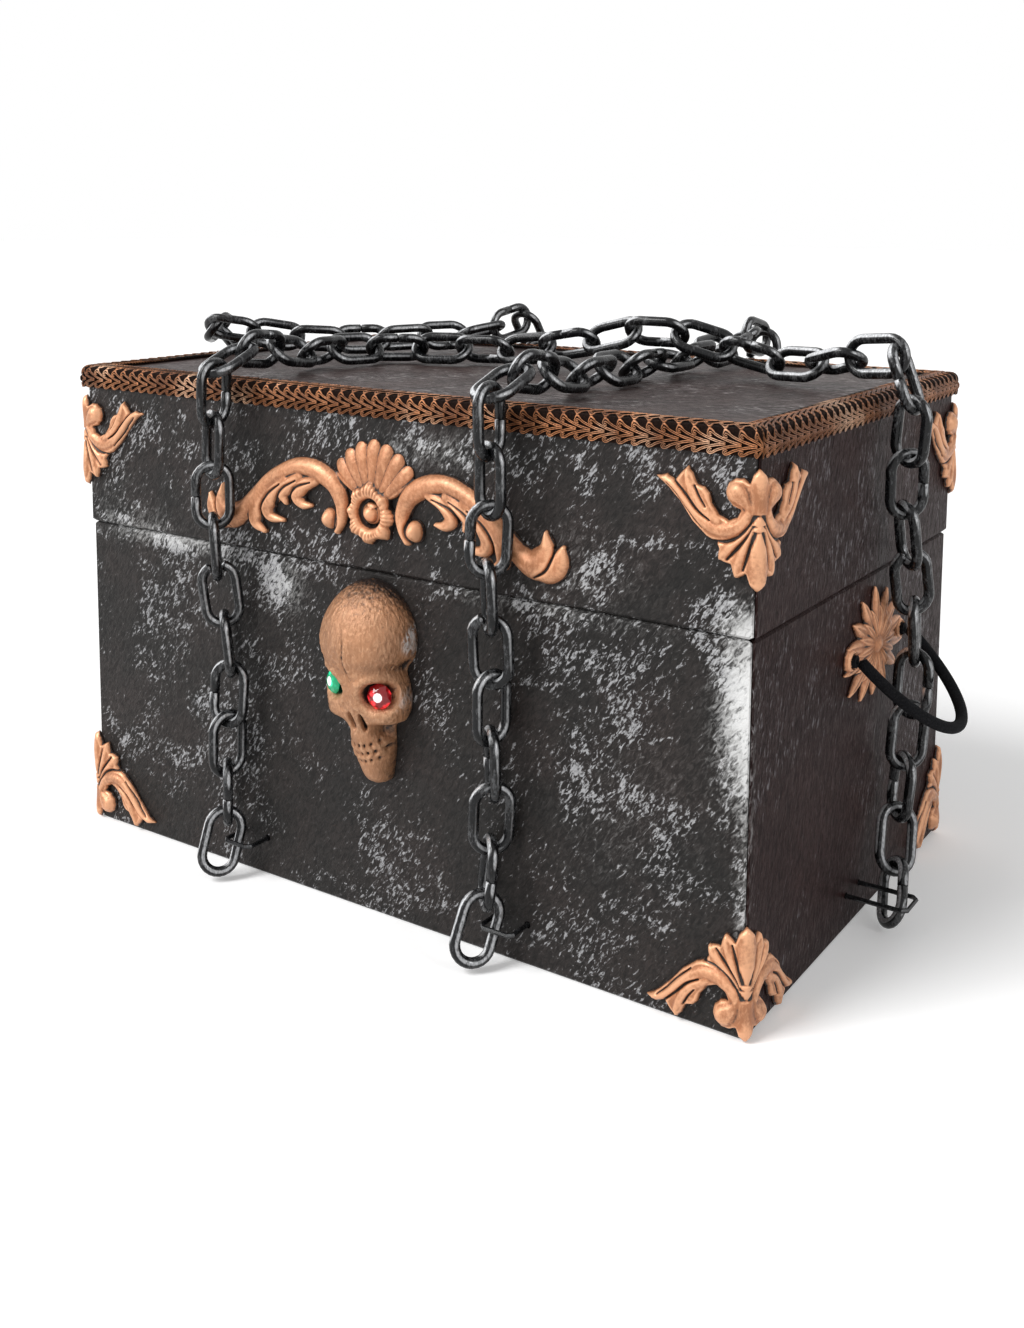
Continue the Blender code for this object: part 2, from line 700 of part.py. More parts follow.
def rope_loop(side, label):
    """The rope between the two knots: half an oval that leans out over the chain."""
    data = bpy.data.curves.new("rope_handle_" + label, "CURVE")
    data.dimensions = "3D"
    data.bevel_depth = ROPE_RADIUS
    data.bevel_resolution = 2
    data.use_fill_caps = True
    spline = data.splines.new("POLY")
    spline.points.add(ROPE_LOOP_STEPS)
    for step in range(ROPE_LOOP_STEPS + 1):
        angle = math.pi * step / ROPE_LOOP_STEPS
        drop = ROPE_LOOP_DROP * math.sin(angle)
        x = side * drop * math.sin(ROPE_LOOP_TILT)
        y = -HANDLE_SPREAD / 2 * math.cos(angle)
        z = -drop * math.cos(ROPE_LOOP_TILT)
        spline.points[step].co = (x, y, z, 1)
    mesh = curve_to_mesh(data, "rope_handle_" + label)
    loop = add_object("rope_handle_" + label, mesh, rope_finish)
    axis_point = (side * HANDLE_AXIS_X, SIDE_CENTRE_Y, HANDLE_HEIGHT)
    loop.location = axis_point
    for end, place in ((-1, "front"), (1, "back")):
        tip = ball_mesh("rope_tip", (0, end * HANDLE_SPREAD / 2, 0), (ROPE_RADIUS,) * 3, 6, 8)
        helper = add_cutter("rope_tip_" + label + "_" + place, tip)
        helper.location = axis_point
        combine(loop, helper, "UNION")


side_fittings(1, "right", base_right)
side_fittings(-1, "left", base_left)


# Hinges

def hinge_leaf(name, centre_x, upward, knuckles):
    """One leaf of a butt hinge with its knuckles, bored for the pin."""
    face_y = CHEST_DEPTH / 2 + GLUE_GAP
    back_y = face_y if upward else face_y - LID_OVERHANG
    front_y = face_y + HINGE_LEAF_THICKNESS
    sign = 1 if upward else -1
    near = HINGE_AXIS_Z + sign * (KNUCKLE_RADIUS + HINGE_CLEARANCE)
    far = HINGE_AXIS_Z + sign * HINGE_LEAF_HEIGHT
    plate = block_mesh(
        name, (centre_x - HINGE_WIDTH / 2, back_y, min(near, far)),
        (centre_x + HINGE_WIDTH / 2, front_y, max(near, far)),
    )
    leaf = add_object(name, plate, hinge_steel)
    for index, (start, end) in enumerate(knuckles):
        web_low = min(HINGE_AXIS_Z, near + sign * HINGE_LEAF_THICKNESS)
        web_high = max(HINGE_AXIS_Z, near + sign * HINGE_LEAF_THICKNESS)
        inset = HINGE_CLEARANCE / 2
        web = block_mesh(
            name + "_web", (start + inset, back_y + inset, web_low), (end - inset, front_y - inset, web_high),
        )
        combine(leaf, add_cutter(name + "_web_" + str(index + 1), web), "UNION")
        axis = ((start, HINGE_AXIS_Y, HINGE_AXIS_Z), (end, HINGE_AXIS_Y, HINGE_AXIS_Z))
        barrel = rod_mesh(name + "_barrel", *axis, KNUCKLE_RADIUS, HINGE_SIDES)
        combine(leaf, add_cutter(name + "_barrel_" + str(index + 1), barrel), "UNION")
    half = HINGE_WIDTH / 2 + CUT_OVERRUN
    bore = rod_mesh(
        name + "_bore", (centre_x - half, HINGE_AXIS_Y, HINGE_AXIS_Z),
        (centre_x + half, HINGE_AXIS_Y, HINGE_AXIS_Z), PIN_RADIUS + GLUE_GAP, HINGE_SIDES,
    )
    combine(leaf, add_cutter(name + "_bore", bore), "DIFFERENCE")
    return leaf


def hinge_pin(name, centre_x):
    """A pin with a small head at each end, turned about the hinge axis."""
    half = HINGE_WIDTH / 2 + GLUE_GAP
    profile = (
        (0, half + PIN_HEAD_LENGTH), (PIN_HEAD_RADIUS, half + PIN_HEAD_LENGTH), (PIN_HEAD_RADIUS, half),
        (PIN_RADIUS, half), (PIN_RADIUS, -half), (PIN_HEAD_RADIUS, -half),
        (PIN_HEAD_RADIUS, -half - PIN_HEAD_LENGTH), (0, -half - PIN_HEAD_LENGTH),
    )

    def maker(work):
        rings = [work.verts.new((radius, 0, height)) for radius, height in profile]
        for start, end in zip(rings, rings[1:]):
            work.edges.new((start, end))

    pin = add_object(name, mesh_from(name, maker), hinge_steel)
    turned = pin.modifiers.new("turned", "SCREW")
    turned.steps = HINGE_SIDES
    turned.render_steps = HINGE_SIDES
    turned.use_merge_vertices = True
    turned.merge_threshold = GLUE_GAP / 10
    pin.location = (centre_x, HINGE_AXIS_Y, HINGE_AXIS_Z)
    pin.rotation_euler.y = math.radians(90)
    return pin


lid_leaves = []
for hinge_side, hinge_label in ((-1, "left"), (1, "right")):
    hinge_x = hinge_side * HINGE_SPREAD / 2
    third = HINGE_WIDTH / 3
    outer_knuckles = (
        (hinge_x - HINGE_WIDTH / 2, hinge_x - third / 2 - HINGE_CLEARANCE),
        (hinge_x + third / 2 + HINGE_CLEARANCE, hinge_x + HINGE_WIDTH / 2),
    )
    hinge_leaf("hinge_" + hinge_label + "_base_leaf", hinge_x, False, outer_knuckles)
    middle_knuckle = ((hinge_x - third / 2, hinge_x + third / 2),)
    lid_leaves.append(hinge_leaf("hinge_" + hinge_label + "_lid_leaf", hinge_x, True, middle_knuckle))
    hinge_pin("hinge_" + hinge_label + "_pin", hinge_x)


# Chain links

def link_outline():
    """The centre line of a link: two straight sides and two half-circle ends."""
    half_straight = (LINK_LENGTH - LINK_WIDTH) / 2
    crest = LINK_BEND_RADIUS / math.cos(math.pi / LINK_BEND_STEPS / 2)
    points = []
    for end in (1, -1):
        for step in range(LINK_BEND_STEPS + 1):
            angle = math.pi * step / LINK_BEND_STEPS
            side = end * LINK_BEND_RADIUS * math.cos(angle)
            points.append((side, end * (half_straight + crest * math.sin(angle))))
    return points


def link_mesh():
    """One closed link in the XZ plane, long along Z: a six-sided wire with true mitres in its bends."""

    def maker(work):
        line = [Vector((x, 0, z)) for x, z in link_outline()]
        rings = []
        for index, point in enumerate(line):
            inward = (point - line[index - 1]).normalized()
            onward = (line[(index + 1) % len(line)] - point).normalized()
            along = (inward + onward).normalized()
            mitre = 1 / along.dot(onward)
            side = Vector((along.z, 0, -along.x)) * mitre
            ring = []
            for facet in range(LINK_FACETS):
                angle = 2 * math.pi * (facet + 1 / 2) / LINK_FACETS
                place = point + side * LINK_SKIN * math.cos(angle)
                place.y = LINK_SKIN * math.sin(angle)
                ring.append(work.verts.new(place))
            rings.append(ring)
        for index, ring in enumerate(rings):
            following = rings[(index + 1) % len(rings)]
            for facet in range(LINK_FACETS):
                other = (facet + 1) % LINK_FACETS
                work.faces.new((ring[facet], ring[other], following[other], following[facet]))
        bmesh.ops.recalc_face_normals(work, faces=work.faces)

    return mesh_from("link", maker)


master_link = link_mesh()


def outward(point):
    """The way out from the chest at a point beside or above it."""
    inset = BOARD_THICKNESS
    nearest = Vector((
        max(-CHEST_WIDTH / 2 + inset, min(CHEST_WIDTH / 2 - inset, point.x)),
        max(-CHEST_DEPTH / 2 + inset, min(CHEST_DEPTH / 2 - inset, point.y)),
        min(CHEST_HEIGHT - inset, point.z),
    ))
    return (point - nearest).normalized()


def reach_point(route, start, origin, reach):
    """The first place after the start of the route that is the reach away from the origin."""
    for place in range(start, len(route) - 1):
        if (route[place + 1] - origin).length >= reach:
            near = 0.0
            far = 1.0
            for halving in range(HALVINGS):
                middle = (near + far) / 2
                if (route[place].lerp(route[place + 1], middle) - origin).length < reach:
                    near = middle
                else:
                    far = middle
            return place, route[place].lerp(route[place + 1], far)
    return None


def zone_of(head, tail):
    """Whether a link hangs on the base or belongs to the lid."""
    if (head.z + tail.z) / 2 < SEAM_HEIGHT:
        return "lower"
    return "lid"


def hook_links(route):
    """Links hooked one into the next along a route, in groups that break where the zone changes."""
    groups = []
    head = route[0]
    index = 0
    found = reach_point(route, index, head, LINK_REACH)
    while found:
        index, tail = found
        zone = zone_of(head, tail)
        if not groups or groups[-1][0] != zone:
            groups.append((zone, []))
        groups[-1][1].append((head, tail))
        ahead = reach_point(route, index, tail, LINK_PITCH)
        if ahead is None:
            break
        along = (tail - head).normalized()
        bend = (along + (ahead[1] - tail).normalized()).normalized()
        bend /= bend.dot(along)
        joined = reach_point(route, index, tail - bend * LINK_SEAT, LINK_REACH)
        loose = reach_point(route, index, tail - bend * LOOSE_SEAT, LINK_REACH)
        if joined is None or loose is None:
            break
        same = zone_of(tail - bend * LINK_SEAT, joined[1]) == zone
        head = tail - bend * (LINK_SEAT if same else LOOSE_SEAT)
        found = reach_point(route, index, head, LINK_REACH)
    return groups


def link_count(groups):
    """How many links the groups hold."""
    return sum(len(links) for zone, links in groups)


def fit_links(route_for):
    """Lengthens a chain's wander over the lid until one more link just reaches the end of its route."""
    wanted = link_count(hook_links(route_for(1.0))) + 1
    short = 1.0
    long = 1.0 + WANDER_STEP
    while link_count(hook_links(route_for(long))) < wanted:
        short = long
        long += WANDER_STEP
    for halving in range(HALVINGS):
        middle = (short + long) / 2
        if link_count(hook_links(route_for(middle))) < wanted:
            short = middle
        else:
            long = middle
    return hook_links(route_for(long))


def link_place(head, tail, lean):
    """The position of a link that leans by an angle from the surface under it."""
    along = (tail - head).normalized()
    out = outward((head + tail) / 2)
    out = (out - along * out.dot(along)).normalized()
    across = along.cross(out)
    side = across * math.cos(lean) + out * math.sin(lean)
    turn = Matrix((side, along.cross(side), along)).transposed().to_4x4()
    return Matrix.Translation((head + tail) / 2) @ turn


def links_mesh(name, places):
    """Separate links at the given places."""

    def maker(work):
        for place in places:
            copy = master_link.copy()
            copy.transform(place)
            work.from_mesh(copy)
            bpy.data.meshes.remove(copy)

    return mesh_from(name, maker)


def strand(name, places, slit=None):
    """Hooked links in one piece; the link at the slit is open at that end, so its neighbour can leave."""
    chain = add_object(name, links_mesh(name, places[::2]), chain_finish)
    combine(chain, add_cutter(name + "_others", links_mesh(name + "_others", places[1::2])), "UNION")
    if slit is not None:
        place, end = slit
        half_slit = LINK_SKIN + SLIT_CLEARANCE
        apex = end * LINK_REACH / 2
        low = (-half_slit, -LINK_WIDTH / 2, apex - LINK_WIRE)
        high = (half_slit, LINK_WIDTH / 2, apex + LINK_WIRE)
        cutter = add_cutter(name + "_slit", block_mesh(name + "_slit", low, high))
        cutter.matrix_world = place
        combine(chain, cutter, "DIFFERENCE")
    return chain


def inner_side(place, out):
    """The way along the wall to the side of a leaning link that lies nearer to the wall."""
    lever = place.to_3x3().col[0]
    flat = lever - out * lever.dot(out)
    flat.z = 0
    return -flat.normalized() if lever.dot(out) > 0 else flat.normalized()


def staple(name, wall, place, out, sideways):
    """A wire staple that holds a strand's last link by one side, with its legs in blind holes."""
    centre = place.translation
    lever = place.to_3x3().col[0] * LINK_BEND_RADIUS
    along = place.to_3x3().col[2]
    level = lever - along * (lever.z / along.z)
    side_wire = centre + (level if level.dot(sideways) > 0 else -level)
    face = nearest_face(wall, centre, out)
    slant = math.sqrt(1 - along.dot(out) ** 2)
    reach = (side_wire - face).dot(out) + LINK_SKIN / slant + STAPLE_CLEARANCE + STAPLE_RADIUS
    foot = centre - out * (centre - face).dot(out)
    depth = out * STAPLE_DEPTH
    corner = STAPLE_RADIUS * 2
    legs = (foot, foot + sideways * STAPLE_SPREAD)
    points = [
        legs[0] - depth, legs[0] + out * (reach - corner), legs[0] + out * reach + sideways * corner,
        legs[1] + out * reach - sideways * corner, legs[1] + out * (reach - corner), legs[1] - depth,
    ]
    data = bpy.data.curves.new(name, "CURVE")
    data.dimensions = "3D"
    data.bevel_depth = STAPLE_RADIUS
    data.bevel_resolution = 1
    data.use_fill_caps = True
    spline = data.splines.new("POLY")
    spline.points.add(len(points) - 1)
    for point, position in zip(spline.points, points):
        point.co = (*position, 1)
    add_object(name, curve_to_mesh(data, name), chain_finish)
    for index, leg in enumerate(legs):
        hole_name = name + "_hole_" + str(index + 1)
        hole = rod_mesh(hole_name, leg - out * (STAPLE_DEPTH + GLUE_GAP), leg + out * CUT_OVERRUN,
                        STAPLE_RADIUS + GLUE_GAP * 2, STAPLE_HOLE_SIDES)
        combine(wall, add_cutter(hole_name, hole), "DIFFERENCE")


def nearest_face(wall, point, out):
    """A point on the wall's outer face, level with the given one."""
    width, depth = (BASE_WIDTH, BASE_DEPTH) if wall.name.startswith("base") else (CHEST_WIDTH, CHEST_DEPTH)
    half = width / 2 if abs(out.x) > abs(out.y) else depth / 2
    return point - out * (point.dot(out) - half)


# Chain routes: each row is a place along a face, a height or depth, and how far it stands off, all as shares
def on_wall(out, rows, trim):
    """Points beside a wall: shares of its half length, of the chest's height and of the link width."""
    sideways = Vector((abs(out.y), abs(out.x), 0))
    half_length = (CHEST_WIDTH if abs(out.y) > abs(out.x) else CHEST_DEPTH) / 2
    half_base = (BASE_WIDTH if abs(out.x) > abs(out.y) else BASE_DEPTH) / 2
    points = []
    for place_share, height_share, lift_share, over_trim in rows:
        stand = half_base + CHAIN_STANDOFF + lift_share * LINK_WIDTH + over_trim * trim
        upward = Vector((0, 0, height_share * CHEST_HEIGHT))
        points.append(sideways * place_share * half_length + out * stand + upward)
    return points


def on_lid(rows, wander):
    """Points above the lid; each middle point stays or is drawn sideways by the wander."""
    level = CHEST_HEIGHT + CHAIN_STANDOFF
    ends = []
    for x_share, y_share, lift_share in (rows[0], rows[-1]):
        ends.append(Vector((x_share * CHEST_WIDTH / 2, y_share * CHEST_DEPTH / 2, 0)))
    run = ends[1] - ends[0]
    points = []
    for x_share, y_share, lift_share in rows:
        place = Vector((x_share * CHEST_WIDTH / 2, y_share * CHEST_DEPTH / 2, 0))
        foot = ends[0] + run * (place - ends[0]).dot(run) / run.length_squared
        moved = foot + (place - foot) * wander
        points.append(Vector((moved.x, moved.y, level + lift_share * LINK_WIDTH)))
    return points


TO_FRONT = Vector((0, -1, 0))
TO_BACK = Vector((0, 1, 0))
TO_RIGHT = Vector((1, 0, 0))
TO_LEFT = Vector((-1, 0, 0))

FRONT_LEFT_SHARES = (
    (-0.436, 0.0210, 0.55, 0), (-0.440, 0.110, 0.05, 0), (-0.432, 0.200, 0.11, 0), (-0.428, 0.330, 0.11, 0),
    (-0.427, 0.460, 0, 0), (-0.444, 0.580, 0, 0.5), (-0.450, 0.700, 0, 1), (-0.450, 0.860, 0, 1),
    (-0.436, 0.965, 0.05, 1), (-0.428, 1.025, 0.12, 1),
)
FRONT_RIGHT_SHARES = (
    (0.363, 0.0210, 0.55, 0), (0.372, 0.110, 0.02, 0), (0.392, 0.300, 0.02, 0), (0.394, 0.400, 0.11, 0),
    (0.394, 0.520, 0.11, 0), (0.394, 0.600, 0, 0.5), (0.391, 0.700, 0, 1), (0.400, 0.860, 0, 1),
    (0.400, 0.965, 0.05, 1), (0.400, 1.025, 0.12, 1),
)
SIDE_SHARES = (
    (0.085, 1.040, 0.42, 1), (0.080, 0.960, 0.16, 1), (0.125, 0.840, 0, 1), (0.155, 0.735, 0, 1),
    (0.230, 0.625, 0.05, 1), (0.262, 0.510, 0.09, 1), (0.245, 0.400, 0.06, 1), (0.228, 0.300, 0.11, 0.5),
    (0.220, 0.210, 0.11, 0), (0.195, 0.127, 0.11, 0), (-0.030, 0.0270, 0.50, 0),
)
BACK_LEFT_SHARES = (
    (-0.385, 1.035, 0.34, 1), (-0.390, 0.965, 0.12, 1), (-0.390, 0.900, 0.03, 1), (-0.400, 0.735, 0, 1),
)
BACK_RIGHT_SHARES = (
    (0.415, 1.035, 0.34, 1), (0.415, 0.965, 0.12, 1), (0.420, 0.900, 0.03, 1), (0.425, 0.728, 0, 1),
)
TOP_A_SHARES = (
    (-0.428, -1.09, 0.38), (-0.430, -0.93, 0.36), (-0.435, -0.60, 0.05), (-0.430, -0.33, 0.02),
    (-0.340, -0.15, 0),
    (-0.190, -0.04, 0), (0.000, 0.01, 0.05), (0.180, 0.06, 0.30), (0.330, 0.09, 0.68), (0.440, 0.11, 0.72),
    (0.560, 0.18, 0.38), (0.680, 0.23, 0.05), (0.820, 0.20, 0.06), (0.930, 0.12, 0.40), (1.050, 0.09, 0.52),
)
TOP_B_SHARES = (
    (-1.030, -0.23, 0.36), (-0.930, -0.15, 0.28), (-0.810, -0.03, 0.06), (-0.690, 0.10, 0),
    (-0.600, 0.25, 0), (-0.530, 0.38, 0.05), (-0.470, 0.55, 0.05), (-0.425, 0.75, 0.10),
    (-0.395, 0.92, 0.36), (-0.385, 1.06, 0.42),
)
TOP_C_SHARES = (
    (0.400, -1.09, 0.38), (0.400, -0.93, 0.36), (0.402, -0.65, 0.05), (0.396, -0.40, 0.0), (0.394, -0.12, 0),
    (0.400, 0.20, -0.04), (0.404, 0.42, 0.01), (0.410, 0.58, 0.02), (0.414, 0.76, 0.12), (0.416, 0.92, 0.36),
    (0.415, 1.06, 0.42),
)


def side_rows(side, rows=SIDE_SHARES):
    """The side strand's rows, from the lid down on the right and from the floor up on the left."""
    return rows if side > 0 else rows[::-1]


def chain_a(wander):
    """Front left, over the lid above the other chain, then down the right side."""
    return smooth_route(
        on_wall(TO_FRONT, FRONT_LEFT_SHARES, FRONT_TRIM) + on_lid(TOP_A_SHARES, wander)
        + on_wall(TO_RIGHT, side_rows(1), SIDE_TRIM)
    )


def chain_b(wander):
    """Up the left side, over the lid and down the back."""
    return smooth_route(
        on_wall(TO_LEFT, side_rows(-1), SIDE_TRIM) + on_lid(TOP_B_SHARES, wander)
        + on_wall(TO_BACK, BACK_LEFT_SHARES, BACK_TRIM)
    )


def chain_c(wander):
    """Up the front, right of the skull, under the first chain and down the back."""
    return smooth_route(
        on_wall(TO_FRONT, FRONT_RIGHT_SHARES, FRONT_TRIM) + on_lid(TOP_C_SHARES, wander)
        + on_wall(TO_BACK, BACK_RIGHT_SHARES, BACK_TRIM)
    )


def hang_chain(groups, names, twists, eases, low_place=None):
    """All strands of one chain, from one end to the other; returns the end links' places.

    Each link is turned a quarter from the one before it, but less where the chain is twisted and where
    it eases into and out of a fold over an edge. One link lies flatter where a chain crosses above it.
    """
    number = 0
    lean = -LINK_LEAN
    placed = []
    for zone, links in groups:
        places = []
        for head, tail in links:
            low = low_place is not None and ((head + tail) / 2 - low_place).to_2d().length < LINK_PITCH / 2
            own_lean = math.copysign(CROSSED_LEAN, math.sin(2 * lean)) if low else lean
            places.append(link_place(head, tail, own_lean))
            number += 1
            if number in twists:
                lean += LINK_TWIST_TURN
            elif number in eases:
                lean += LINK_EASE_TURN
            else:
                lean += LINK_TURN
        placed.append((zone, places))
    for index, ((zone, places), name) in enumerate(zip(placed, names)):
        slit = None
        if zone == "lower":
            slit = (places[-1], 1) if index == 0 else (places[0], -1)
        strand(name, places, slit)
    return placed[0][1][0], placed[-1][1][-1]


crossing = Vector((TOP_C_SHARES[5][0] * CHEST_WIDTH / 2, TOP_C_SHARES[5][1] * CHEST_DEPTH / 2, CHEST_HEIGHT))
end_front_left, end_right = hang_chain(
    fit_links(chain_a), ("chain_front_left_lower", "chain_front_to_right", "chain_right_lower"),
    (2, 3, 4, 32, 33, 34), (8, 9, 11, 12, 25, 26, 28, 29),
)
end_left, end_back_left = hang_chain(
    hook_links(chain_b(1.0)), ("chain_left_lower", "chain_left_to_back"), (), (8, 9, 11, 12, 18, 19, 21, 22),
)
end_front_right, end_back_right = hang_chain(
    hook_links(chain_c(1.0)), ("chain_front_right_lower", "chain_front_to_back"), (4, 5, 6),
    (8, 9, 11, 12, 19, 20, 22, 23), crossing,
)
staple("staple_front_left", base_front, end_front_left, TO_FRONT, TO_RIGHT)
staple("staple_front_right", base_front, end_front_right, TO_FRONT, TO_RIGHT)
staple("staple_right", base_right, end_right, TO_RIGHT, TO_FRONT)
staple("staple_left", base_left, end_left, TO_LEFT, TO_FRONT)
staple("staple_back_left", lid_back, end_back_left, TO_BACK, inner_side(end_back_left, TO_BACK))
staple("staple_back_right", lid_back, end_back_right, TO_BACK, inner_side(end_back_right, TO_BACK))


# Moving pieces hang on pivots at their axes
lid_pivot = empty_at("lid_pivot", (0, HINGE_AXIS_Y, HINGE_AXIS_Z))
lid_names = (
    "lid_", "braid_trim", "corner_upper", "scroll_ornament", "hinge_left_lid", "hinge_right_lid",
    "staple_back", "chain_front_to", "chain_left_to",
)
lid_items = [item for item in chest.objects if item.type == "MESH" and item.name.startswith(lid_names)]
hang_on(lid_pivot, lid_items)
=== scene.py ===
"""Looks of the treasure chest: chain, braid, copper reliefs, skull, gems, ropes and paint on the fixed frame.

Metres, +Z up, in the frame's own place. Tables of shapes are in millimetres and are scaled by MM.
"""
import math

import bmesh
import bpy
import numpy as np
from mathutils import Matrix, Vector
from mathutils import noise as mathutils_noise


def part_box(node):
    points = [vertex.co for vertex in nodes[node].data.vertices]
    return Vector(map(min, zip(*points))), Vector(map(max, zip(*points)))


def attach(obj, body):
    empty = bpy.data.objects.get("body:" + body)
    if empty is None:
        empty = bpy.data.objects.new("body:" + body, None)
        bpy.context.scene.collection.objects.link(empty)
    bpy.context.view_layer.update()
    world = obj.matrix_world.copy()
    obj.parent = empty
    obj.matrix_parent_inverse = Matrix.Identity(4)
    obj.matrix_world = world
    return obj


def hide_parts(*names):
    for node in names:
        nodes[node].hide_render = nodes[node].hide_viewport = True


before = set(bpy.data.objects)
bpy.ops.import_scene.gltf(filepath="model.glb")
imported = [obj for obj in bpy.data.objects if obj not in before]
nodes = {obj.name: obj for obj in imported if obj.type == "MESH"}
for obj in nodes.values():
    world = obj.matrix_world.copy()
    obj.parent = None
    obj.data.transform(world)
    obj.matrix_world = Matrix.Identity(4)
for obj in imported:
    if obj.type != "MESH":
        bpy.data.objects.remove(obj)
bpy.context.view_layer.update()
MM = 0.001

# Box, as the frame gives it
LID_LOW, LID_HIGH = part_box("lid_top")
CHEST_WIDTH = LID_HIGH.x - LID_LOW.x
CHEST_DEPTH = LID_HIGH.y - LID_LOW.y
CHEST_HEIGHT = LID_HIGH.z
SEAM_HEIGHT = (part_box("base_front")[1].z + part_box("lid_front")[0].z) / 2
LID_OVERHANG = 0.001
BASE_WIDTH = CHEST_WIDTH - 2 * LID_OVERHANG
BASE_DEPTH = CHEST_DEPTH - 2 * LID_OVERHANG
GAP = 0.0003


# Camera

CAMERA_PLACE = Vector((0.4525, -0.6811, 0.3602))
CAMERA_HEADING = math.radians(-34.02)
CAMERA_DIP = math.radians(6.60)
CAMERA_ROLL = math.radians(0.28)
IMAGE_WIDTH = 1024
IMAGE_HEIGHT = 1328
FOCAL_PIXELS = 1436.9
CENTRE_PIXEL = (505.4, 379.5)
SENSOR_HEIGHT = 36.0
NEAREST_SEEN = 0.01


def add_camera():
    """The photograph's viewpoint, fitted to the edges of the box."""
    ahead = Vector((
        math.sin(CAMERA_HEADING) * math.cos(CAMERA_DIP), math.cos(CAMERA_HEADING) * math.cos(CAMERA_DIP),
        -math.sin(CAMERA_DIP),
    ))
    level = Vector((math.cos(CAMERA_HEADING), -math.sin(CAMERA_HEADING), 0))
    above = level.cross(ahead)
    right = level * math.cos(CAMERA_ROLL) + above * math.sin(CAMERA_ROLL)
    up = above * math.cos(CAMERA_ROLL) - level * math.sin(CAMERA_ROLL)
    data = bpy.data.cameras.new("view")
    data.sensor_fit = "VERTICAL"
    data.sensor_height = SENSOR_HEIGHT
    data.lens = FOCAL_PIXELS / IMAGE_HEIGHT * SENSOR_HEIGHT
    data.shift_x = (IMAGE_WIDTH / 2 - CENTRE_PIXEL[0]) / IMAGE_HEIGHT
    data.shift_y = (CENTRE_PIXEL[1] - IMAGE_HEIGHT / 2) / IMAGE_HEIGHT
    data.clip_start = NEAREST_SEEN
    camera = bpy.data.objects.new("view", data)
    camera.matrix_world = Matrix.Translation(CAMERA_PLACE) @ Matrix((right, up, -ahead)).transposed().to_4x4()
    bpy.context.scene.collection.objects.link(camera)
    bpy.context.scene.camera = camera


add_camera()


# Mesh helpers

def add_piece(name, mesh, body, material, smooth=True):
    """A visible piece that rides on a body and takes its finish from a slot."""
    piece = bpy.data.objects.new(name, mesh)
    bpy.context.scene.collection.objects.link(piece)
    mesh.materials.clear()
    mesh.materials.append(material)
    if smooth:
        mesh.shade_smooth()
    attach(piece, body)
    return piece


def mesh_of(name, points, faces):
    """A mesh from an array of points and a list of faces."""
    mesh = bpy.data.meshes.new(name)
    mesh.from_pydata([tuple(point) for point in points], [], faces)
    mesh.update()
    return mesh


def store_values(mesh, name, values):
    """Stores a number on each point of a mesh, for its material to read."""
    layer = mesh.attributes.new(name, "FLOAT", "POINT")
    layer.data.foreach_set("value", np.array(values, dtype=np.float32))


def curve_points(knots, steps):
    """Points of a smooth curve that runs from the second knot to the last but one, without its end."""
    shares = [step / steps for step in range(steps)]
    return [
        0.5 * (2 * b + (c - a) * t + (2 * a - 5 * b + 4 * c - d) * t ** 2 + (3 * b - a - 3 * c + d) * t ** 3)
        for a, b, c, d in zip(knots, knots[1:], knots[2:], knots[3:]) for t in shares
    ]


def smooth_route(points, steps=10):
    """Vectors along a smooth curve through the given ones."""
    return curve_points([points[0], *points, points[-1]], steps) + [points[-1].copy()]


def smooth_rows(rows, steps=8):
    """Rows of a table along a smooth curve through the given ones."""
    table = np.array(rows, dtype=float)
    knots = np.vstack((2 * table[0] - table[1], table, 2 * table[-1] - table[-2]))
    return np.array(curve_points(knots, steps) + [table[-1]])


def tube(line, radius, sides, closed=False, start_side=None):
    """Points and faces of a round wire along a line of vectors; an open wire has domed ends."""
    count = len(line)
    points = []
    faces = []
    side = start_side
    for index, place in enumerate(line):
        before = line[index - 1] if index or closed else line[0]
        after = line[(index + 1) % count] if index < count - 1 or closed else line[-1]
        along = (after - before).normalized()
        if side is None:
            side = along.orthogonal()
        side = (side - along * side.dot(along)).normalized()
        other = along.cross(side)
        for step in range(sides):
            angle = 2 * math.pi * step / sides
            points.append(place + (side * math.cos(angle) + other * math.sin(angle)) * radius)
    for ring in range(count if closed else count - 1):
        low = ring * sides
        high = (ring + 1) % count * sides
        for step in range(sides):
            beside = (step + 1) % sides
            faces.append((low + step, low + beside, high + beside, high + step))
    if not closed:
        for ring, tip, inner in ((0, line[0], line[1]), (count - 1, line[-1], line[-2])):
            push = (tip - inner).normalized() * radius / 2
            centre = len(points)
            points.append(tip + push)
            for step in range(sides):
                first = ring * sides + step
                second = ring * sides + (step + 1) % sides
                faces.append((first, second, centre) if ring else (second, first, centre))
    return points, faces


def gather(parts):
    """One list of points and faces from several."""
    points = []
    faces = []
    for some_points, some_faces in parts:
        start = len(points)
        points.extend(some_points)
        faces.extend(tuple(start + corner for corner in face) for face in some_faces)
    return points, faces


# Shader helpers

MIX_FIRST, MIX_SECOND, MIX_RESULT = 6, 7, 2


def feed(tree, node, sockets):
    """Values and the outputs of other nodes, put into a node's sockets."""
    for key, value in sockets.items():
        if isinstance(value, bpy.types.NodeSocket):
            tree.links.new(value, node.inputs[key])
        else:
            node.inputs[key].default_value = value


def put(tree, kind, inputs=None, **settings):
    """A node with its settings and inputs."""
    node = tree.nodes.new(kind)
    for key, value in settings.items():
        setattr(node, key, value)
    feed(tree, node, inputs or {})
    return node


